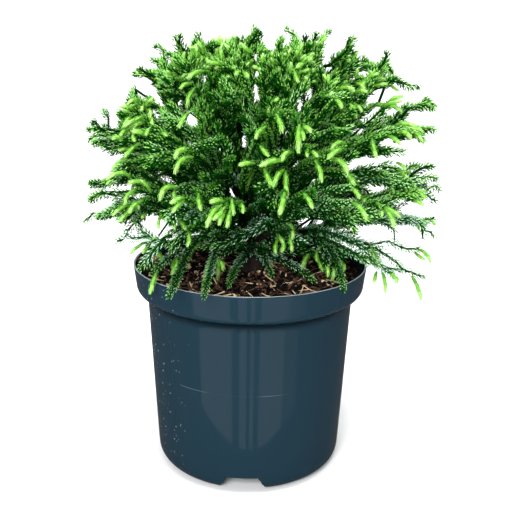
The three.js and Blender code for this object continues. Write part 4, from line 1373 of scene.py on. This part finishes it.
class OBJECT_OT_cryptomeria_needles(Operator):
    """Clothe the shoots with grown needles. Where the two arms of a rope's curve differ, a share F of its
    length lies at F (near + far) / (near + sqrt(near^2 + (far^2 - near^2) F)) of the curve's parameter"""

    bl_idname = "object.cryptomeria_needles"
    bl_label = "Grown needles"

    def execute(self, context):
        crown = context.scene.cryptomeria_crown
        rng = np.random.default_rng(crown.seed + 2)
        plan = grow(crown)
        curves, rank = plan["curve"], plan["rank"]
        length = curve_lengths(curves)
        clad = length * (1 - plan["bare"])
        count = np.maximum(np.round(clad / crown.needle_pitch), 4).astype(int)
        owner, order = dealt(count)
        rope = rank[owner] == ROPE
        kept = ~rope | (order % 3 < 2) | (order > 0.4 * count[owner])
        owner, order, rope = owner[kept], order[kept], rope[kept]
        begin = plan["bare"][owner]
        share = begin + (1 - begin) * (order + 0.5) / count[owner]
        near, far = np.linalg.norm(np.diff(curves, axis=1), axis=2)[owner].T
        even = share * (near + far) / (near + np.sqrt(near**2 + (far**2 - near**2) * share))
        share = np.where(rope, even, share)
        height = (curves[:, 2, 2] - CROWN_FOOT) / CROWN_HEIGHT
        low = 1 - smooth_step(0.15, 0.75, height)
        size = crown.needle_length * (1.08 + 0.02 * low)[owner] * rng.uniform(0.88, 1.08, len(owner))
        size = size * (1 - 0.25 * smooth_step(0.7, 1, share))
        turn = order * GOLDEN_TURN + rng.uniform(0, FULL_TURN, len(curves))[owner]
        turn = turn + rng.normal(0, 0.12, len(owner))
        spread = 0.46 + 0.22 * low + rng.uniform(-0.05, 0.05, len(curves))
        spread = np.where(rank == ROPE, ROPE_SPREAD, spread)
        splay = spread[owner] * (1 - 0.4 * smooth_step(0.8, 1, share))
        core = CORE + 0.0003 * (1 - share)
        radii = (core * 0.8, core + size * splay * 0.54, core + size * splay)
        width = crown.needle_width * rng.uniform(0.85, 1.15, len(owner)) * np.where(rope, ROPE_WIDTH, 1)
        reach = size * np.sqrt(1 - splay**2) / np.where(
            rope, 2 * (near + (far - near) * share), length[owner])

        height = height + rng.normal(0, 0.16, plan["spray"].max() + 1)[plan["spray"]]
        outward = np.linalg.norm(curves[:, 2] - HUB, axis=1)
        tone = HEIGHT_TONES[np.digitize(height, TONE_HEIGHTS)]
        tone = np.where(outward < DEEP_INSIDE, np.minimum(tone, BLUISH), tone)[owner]
        young_from = np.where(rank[owner] == OUTLINE, YOUNG_FROM_OUTLINE, YOUNG_FROM)
        tone = np.where((share > young_from) & (rank[owner] != INNER), YOUNG_TONES[tone], tone)
        foot, along = curve_points(curves[owner], share)
        out = fan_out(*cross_frame(curves[owner], along), turn)
        # Painted shade: needles that face down or inwards, or stand deep in the crown, are dealt the shade
        # tone.
        inside = 1 - smooth_step(0.5, 0.92, np.linalg.norm((foot - HUB) / CROWN_HALF, axis=1))
        facing = np.sum(out * unit(unit(foot - HUB) + UP), 1)
        hidden = 0.5 - 0.5 * facing + 0.20 * inside + rng.normal(0, 0.10, len(curves))[owner]
        hidden = hidden - 0.24 * rope - 0.08 * low[owner]
        tone = np.where(hidden + rng.normal(0, 0.18, len(owner)) > SHADE_FROM, SHADE, tone)
        # Each tone is a pair: a foot darkened as painted shade and a point lightened as a painted highlight.
        materials = []
        for name, (foot, point) in DARK_TONES.items():
            sheen = SHADE_POINT_SHEEN if name == "shade" else POINT_SHEEN
            materials.append(plain_material(f"Needle foot {name}", foot, *FOOT_SHEEN))
            materials.append(plain_material(f"Needle point {name}", point, *sheen))

        parts = part_of_mass()
        for name, part in PARTS.items():
            mine = parts[plan["mass"][owner]] == part
            corners, faces = needles(
                curves, owner[mine], share[mine], reach[mine], [radius[mine] for radius in radii],
                width[mine], turn[mine], KEEL)
            tones = 2 * tone[mine][:, None] + np.array([0, 1, 0, 1])
            replaced = [f"foliage_{mass}" for mass, its in zip(mass_names(), parts) if its == part]
            piece(f"needles_{name}", corners, faces, materials, tones.ravel(), False, replaced)
        return {"FINISHED"}


# ---------------------------------------------------------------- new growth

FRESH_TONES = {
    "lime foot": (0.310, 0.540, 0.135),
    "lime": (0.430, 0.680, 0.200),
    "lime end": (0.610, 0.820, 0.420),
}
# How much stouter the tips are, how thick the heart of new growth is, and its needles: length, width,
# one for each length of shoot, and the turn from each to the next.
TIP_STOUTNESS, HEART_SHARE = 1.2, 0.80
FRESH_NEEDLE, FRESH_WIDTH, FRESH_PITCH, FRESH_TURN = 0.0040, 0.00072, 0.00060, math.radians(138.1)
# How far an opening is widened for new growth, and at how many of its 12 places in one it is left out.
FRESH_MARGIN, FRESH_CROSSINGS = 0.0015, 2


def fresh_plan(crown, plan):
    """Curves of the new growth, and how high each one stands over the hub: one from the end of each chosen
    shoot, up to four beside it, and the tips."""
    rng = np.random.default_rng(crown.seed + 3)
    curves = plan["curve"]
    outer = (plan["rank"] == BRANCH) | (plan["rank"] == SIDE)
    outward = np.linalg.norm(curves[:, 2] - HUB, axis=1)
    chance = np.where(plan["fresh"], crown.fresh_share, crown.stray_share)
    chance = np.where(on_listed_front(curves[:, 2]), 0.0, chance)
    chosen = np.flatnonzero(outer & (rng.random(len(curves)) < chance) & (outward > 0.095))
    crest = unit(curves[chosen, 2] - HUB)[:, 2] > 0.8
    extra = rng.choice(4, len(chosen), p=[0.5, 0.28, 0.14, 0.08])
    extra = np.where(crest, rng.choice(5, len(chosen), p=[0.1, 0.2, 0.3, 0.25, 0.15]), extra)
    owner = np.concatenate([chosen, np.repeat(chosen, extra)])
    count = len(owner)
    lateral = np.arange(count) >= len(chosen)
    share = np.where(lateral, rng.uniform(0.62, 0.95, count), 0.97)
    place, along = curve_points(curves[owner], share)
    place = parted(place)
    across = fan_out(*cross_frame(curves[owner], along), rng.uniform(0, FULL_TURN, count))
    angle = np.where(lateral, rng.uniform(0.45, 0.9, count), rng.uniform(0, 0.25, count))
    leave = fan_out(along, across, angle)
    elevation = unit(place - HUB)[:, 2]
    pull = (1 - 0.85 * smooth_step(0.72, 0.97, elevation)) * rng.uniform(0.4, 1.9, count)
    length = crown.fresh_length * rng.uniform(0.5, 1.0, count) * np.where(lateral, 0.85, 1.0)
    length = length * (1 - 0.35 * smooth_step(0.7, 0.95, elevation))
    heading = unit(leave - UP * pull[:, None])
    bend = place + leave * (0.5 * length)[:, None]
    end = bend + heading * (0.58 * length)[:, None]
    fresh = clear_of_pot(np.stack([place, bend, end], 1))
    away = fresh[:, 2] - HUB
    limit = 1.08 - 0.05 * smooth_step(0.75, 0.95, unit(away)[:, 2])
    kept = np.linalg.norm(away, axis=1) < crown_reach(crown_surface(), unit(away)) * limit
    kept &= crossings(fresh, FRESH_MARGIN) < FRESH_CROSSINGS
    tips = clear_of_pot(tip_curves())
    elevation = np.concatenate([elevation[kept], unit(tips[:, 0] - HUB)[:, 2]])
    return np.concatenate([fresh[kept], tips]), elevation


class OBJECT_OT_cryptomeria_new_growth(Operator):
    """Add the pale new growth at the ends of the shoots"""

    bl_idname = "object.cryptomeria_new_growth"
    bl_label = "New growth"

    def execute(self, context):
        crown = context.scene.cryptomeria_crown
        curves, elevation = fresh_plan(crown, grow(crown))
        rng = np.random.default_rng(crown.seed + 4)
        length = curve_lengths(curves)
        full = crown.fresh_radius * rng.uniform(0.85, 1.15, len(curves)) * (
            0.75 + 0.25 * length / length.max())
        full[-len(TIPS):] *= TIP_STOUTNESS

        def spindle(index, share):
            """Radius: a slow swell from the foot, with a rounded end."""
            swell = 0.66 + 0.34 * np.sin(0.5 * np.pi * np.clip(share / 0.55, 0, 1))
            return full[index] * swell * np.sqrt(1 - (np.clip(share - 0.72, 0, 0.28) / 0.3) ** 2)

        corners, faces, _ = tubes(
            curves, lambda index, share, angle: spindle(index, share) * HEART_SHARE, *HEART_MESH)
        materials = [
            plain_material(name.capitalize(), colour, 0.45, 0.4) for name, colour in FRESH_TONES.items()]
        sides, steps = HEART_MESH
        cap = np.zeros(sides)
        step = np.concatenate([cap, np.repeat(np.arange(steps), 2 * sides), cap + steps - 1])
        tones = np.digitize(np.tile(step, len(curves)), [2, 4])
        piece("new_growth_hearts", corners, faces, materials, tones)

        count = np.round(length / FRESH_PITCH).astype(int)
        owner, order = dealt(count)
        share = 0.96 * (order + 0.3) / count[owner]
        reach = FRESH_NEEDLE * rng.uniform(0.85, 1.1, len(owner)) / length[owner]
        lift = 0.0004 + 0.0005 * smooth_step(0.75, 0.97, elevation)[owner]
        middle, point = np.clip(share + 0.48 * reach, 0, 1), np.clip(share + reach, 0, 1)
        radii = (
            spindle(owner, share) * HEART_SHARE,
            spindle(owner, middle) + lift * 0.4,
            spindle(owner, point) * 0.9 + lift,
        )
        reach = np.minimum(reach, 1.03 - share)
        turn = order * FRESH_TURN + rng.uniform(0, FULL_TURN, len(curves))[owner]
        width = np.full(len(owner), FRESH_WIDTH)
        corners, faces = needles(curves, owner, share, reach, radii, width, turn, FRESH_KEEL)
        tones = np.repeat(np.digitize(share, [0.22, 0.68]), len(NEEDLE_FACES))
        piece("new_growth_needles", corners, faces, materials, tones, False)
        return {"FINISHED"}


# ---------------------------------------------------------------- stage

# Lamps: place, aim, width, height and power.
LAMPS = {
    "top": ((0.1, -0.2, 1.6), (0, 0, 0.2), 0.7, 0.7, 30),
    "front": ((-0.3, -1.4, 0.9), (0, 0, 0.2), 0.6, 0.6, 29),
    "backdrop": ((0, 1.2, 1.9), (0, 1.9, 0.2), 3.0, 0.8, 34),
}
# The cards: the directions of their two sides, their height over the floor and how far they reach, the
# radius of the pot where they show, and how near to it they begin. The last ones are dimmer.
CARD_EDGES = np.radians([[-57.0, -19.0], [-10.8, -2.6], [1.5, 5.6], [11.8, 40.0], [40.3, 56.0]])
CARD_HEIGHT, CARD_REACH, CARD_COLUMNS = 0.003, 0.8, 12
CARD_POT_RADIUS, CARD_NEAR, CARD_ROUND = 0.081, 0.049, 0.065
DIM_CARD_SHARE = 0.45
FLOOR_HALF, FLOOR_COLUMNS = 3.2, 12


def soft_light(name, place, aim, width, height, watts):
    """A rectangular lamp at a place, facing a point."""
    data = bpy.data.lights.new(name, "AREA")
    data.shape, data.size, data.size_y, data.energy = "RECTANGLE", width, height, watts
    lamp = added(name, data)
    lamp.location = place
    lamp.rotation_euler = (Vector(aim) - Vector(place)).to_track_quat("-Z", "Y").to_euler()


def reflector_cards():
    """Flat wedges lying in front of the pot, which its side shows as upright bands of sheen.

    What shows at the angle a/2 round the pot lies along the direction a from that place on its side. A
    wedge begins CARD_NEAR + CARD_ROUND * a^2 from it, so that the sheen is round at its foot."""
    angle = CARD_EDGES[:, :1] + np.diff(CARD_EDGES) * np.linspace(0, 1, CARD_COLUMNS)
    place = CARD_POT_RADIUS * np.stack([np.sin(angle / 2), -np.cos(angle / 2)], -1)
    out = np.stack([np.sin(angle), -np.cos(angle)], -1)
    near = (CARD_NEAR + CARD_ROUND * angle**2)[..., None]
    ends = np.stack([place + near * out, place + CARD_REACH * out], 2).reshape(-1, 2)
    corners = np.concatenate([ends, np.full((len(ends), 1), CARD_HEIGHT)], 1)
    corner = (np.arange(len(angle))[:, None] * CARD_COLUMNS + np.arange(CARD_COLUMNS - 1)).ravel() * 2
    return corners, np.stack([corner, corner + 1, corner + 3, corner + 2], 1)


def sweep():
    """A floor that bows up into a backdrop: flat, a quarter of an ellipse, and upright."""
    turn = np.linspace(0, np.pi / 2, 16)[1:]
    y = np.concatenate([np.linspace(-2.6, 1.5, 30), 1.5 + 1.1 * np.sin(turn), np.full(6, 2.6)])
    z = np.concatenate([np.zeros(30), 1.1 - 1.1 * np.cos(turn), np.linspace(1.3, FLOOR_HALF, 6)])
    x = np.linspace(-FLOOR_HALF, FLOOR_HALF, FLOOR_COLUMNS)
    corners = np.stack(np.broadcast_arrays(x[None, :], y[:, None], z[:, None]), -1).reshape(-1, 3)
    return corners, grid_faces(len(y), FLOOR_COLUMNS)


def glow_material(name, strength):
    """A surface that only glows."""
    material = plain_material(name, (0, 0, 0), 1.0, 0.0)
    finish(material, {"Emission Color": (1, 1, 1, 1), "Emission Strength": strength})
    return material


def dimmed_in_gloss(tree, seen, output, kind, colour, strength):
    """Lets gloss see a dim glow in place of the shader that the eye and soft light see."""
    ray = shade(tree, "LightPath").outputs["Is Glossy Ray"]
    glow = shade(tree, kind, {"Color": colour, "Strength": strength}).outputs[kind]
    blend = shade(tree, "MixShader", {"Fac": ray, 1: seen, 2: glow})
    feed(tree, tree.nodes[output], {"Surface": blend.outputs["Shader"]})


def sweep_material(room_glow):
    """White to the eye and to soft light, but a dim room in the gloss of the pot."""
    material = plain_material("White sweep", (0.97, 0.97, 0.97), 0.9, 0.1)
    tree = material.node_tree
    seen = tree.nodes["Principled BSDF"].outputs["BSDF"]
    dimmed_in_gloss(tree, seen, "Material Output", "Emission", (room_glow, room_glow, room_glow, 1), 1.0)
    return material


def studio_world(room_glow):
    """An even pale sky, which is dim in the gloss of the pot."""
    world = bpy.data.worlds.new("Studio")
    world.use_nodes = True
    tree = world.node_tree
    sky = feed(tree, tree.nodes["Background"], {"Color": (0.95, 0.97, 1.0, 1), "Strength": 0.55})
    dimmed_in_gloss(
        tree, sky.outputs["Background"], "World Output", "Background", (0.9, 0.96, 1.0, 1), room_glow)
    return world


class OBJECT_OT_cryptomeria_stage(Operator):
    """Lay the floor, and set the lights and the camera"""

    bl_idname = "object.cryptomeria_stage"
    bl_label = "Stage"

    def execute(self, context):
        stage = context.scene.cryptomeria_stage
        floor = mesh_object("floor", *sweep(), [sweep_material(stage.room_glow)], smooth=True)

        context.scene.world = studio_world(stage.room_glow)
        for name, lamp in LAMPS.items():
            soft_light(name, *lamp)
        corners, faces = reflector_cards()
        glows = [
            glow_material("Card glow", stage.card_glow),
            glow_material("Dim card glow", stage.card_glow * DIM_CARD_SHARE),
        ]
        cards = mesh_object("cards", corners, faces, glows, np.arange(len(faces)) // (CARD_COLUMNS - 1) // 4)
        cards.visible_camera = cards.visible_diffuse = cards.visible_shadow = False

        data = bpy.data.cameras.new("camera")
        data.lens, data.sensor_width = stage.lens, 36
        data.clip_start, data.clip_end = 0.01, 50
        camera = added("camera", data)
        camera.matrix_world = (
            Matrix.Translation(Vector(stage.camera_place))
            @ Matrix.Rotation(math.pi / 2 - stage.camera_dip, 4, "X")
            @ Matrix.Rotation(stage.camera_roll, 4, "Z")
        )
        context.scene.camera = camera
        context.scene.view_settings.view_transform = "Standard"
        return {"FINISHED"}


# ---------------------------------------------------------------- panel and registration

STEPS = (
    OBJECT_OT_cryptomeria_pot,
    OBJECT_OT_cryptomeria_mix,
    OBJECT_OT_cryptomeria_wood,
    OBJECT_OT_cryptomeria_needles,
    OBJECT_OT_cryptomeria_new_growth,
    OBJECT_OT_cryptomeria_stage,
)
SETTINGS = {
    "cryptomeria_pot": PotSettings,
    "cryptomeria_mix": MixSettings,
    "cryptomeria_crown": CrownSettings,
    "cryptomeria_stage": StageSettings,
}


class VIEW3D_PT_cryptomeria(Panel):
    """Lists the settings and the steps"""

    bl_label = "Potted cryptomeria"
    bl_space_type = "VIEW_3D"
    bl_region_type = "UI"
    bl_category = "Cryptomeria"

    def draw(self, context):
        for holder, group in SETTINGS.items():
            box = self.layout.box()
            for name in group.__annotations__:
                box.prop(getattr(context.scene, holder), name)
        for step in STEPS:
            self.layout.operator(step.bl_idname)


def register():
    for group in (*SETTINGS.values(), *STEPS, VIEW3D_PT_cryptomeria):
        bpy.utils.register_class(group)
    for holder, group in SETTINGS.items():
        setattr(bpy.types.Scene, holder, PointerProperty(type=group))


def unregister():
    for holder in SETTINGS:
        delattr(bpy.types.Scene, holder)
    for group in reversed((*SETTINGS.values(), *STEPS, VIEW3D_PT_cryptomeria)):
        bpy.utils.unregister_class(group)


def main():
    """Registers the add-on and takes its steps in order."""
    register()
    bpy.ops.object.cryptomeria_pot()
    bpy.ops.object.cryptomeria_mix()
    bpy.ops.object.cryptomeria_wood()
    bpy.ops.object.cryptomeria_needles()
    bpy.ops.object.cryptomeria_new_growth()
    bpy.ops.object.cryptomeria_stage()
    bpy.context.view_layer.update()


if __name__ == "__main__":
    main()
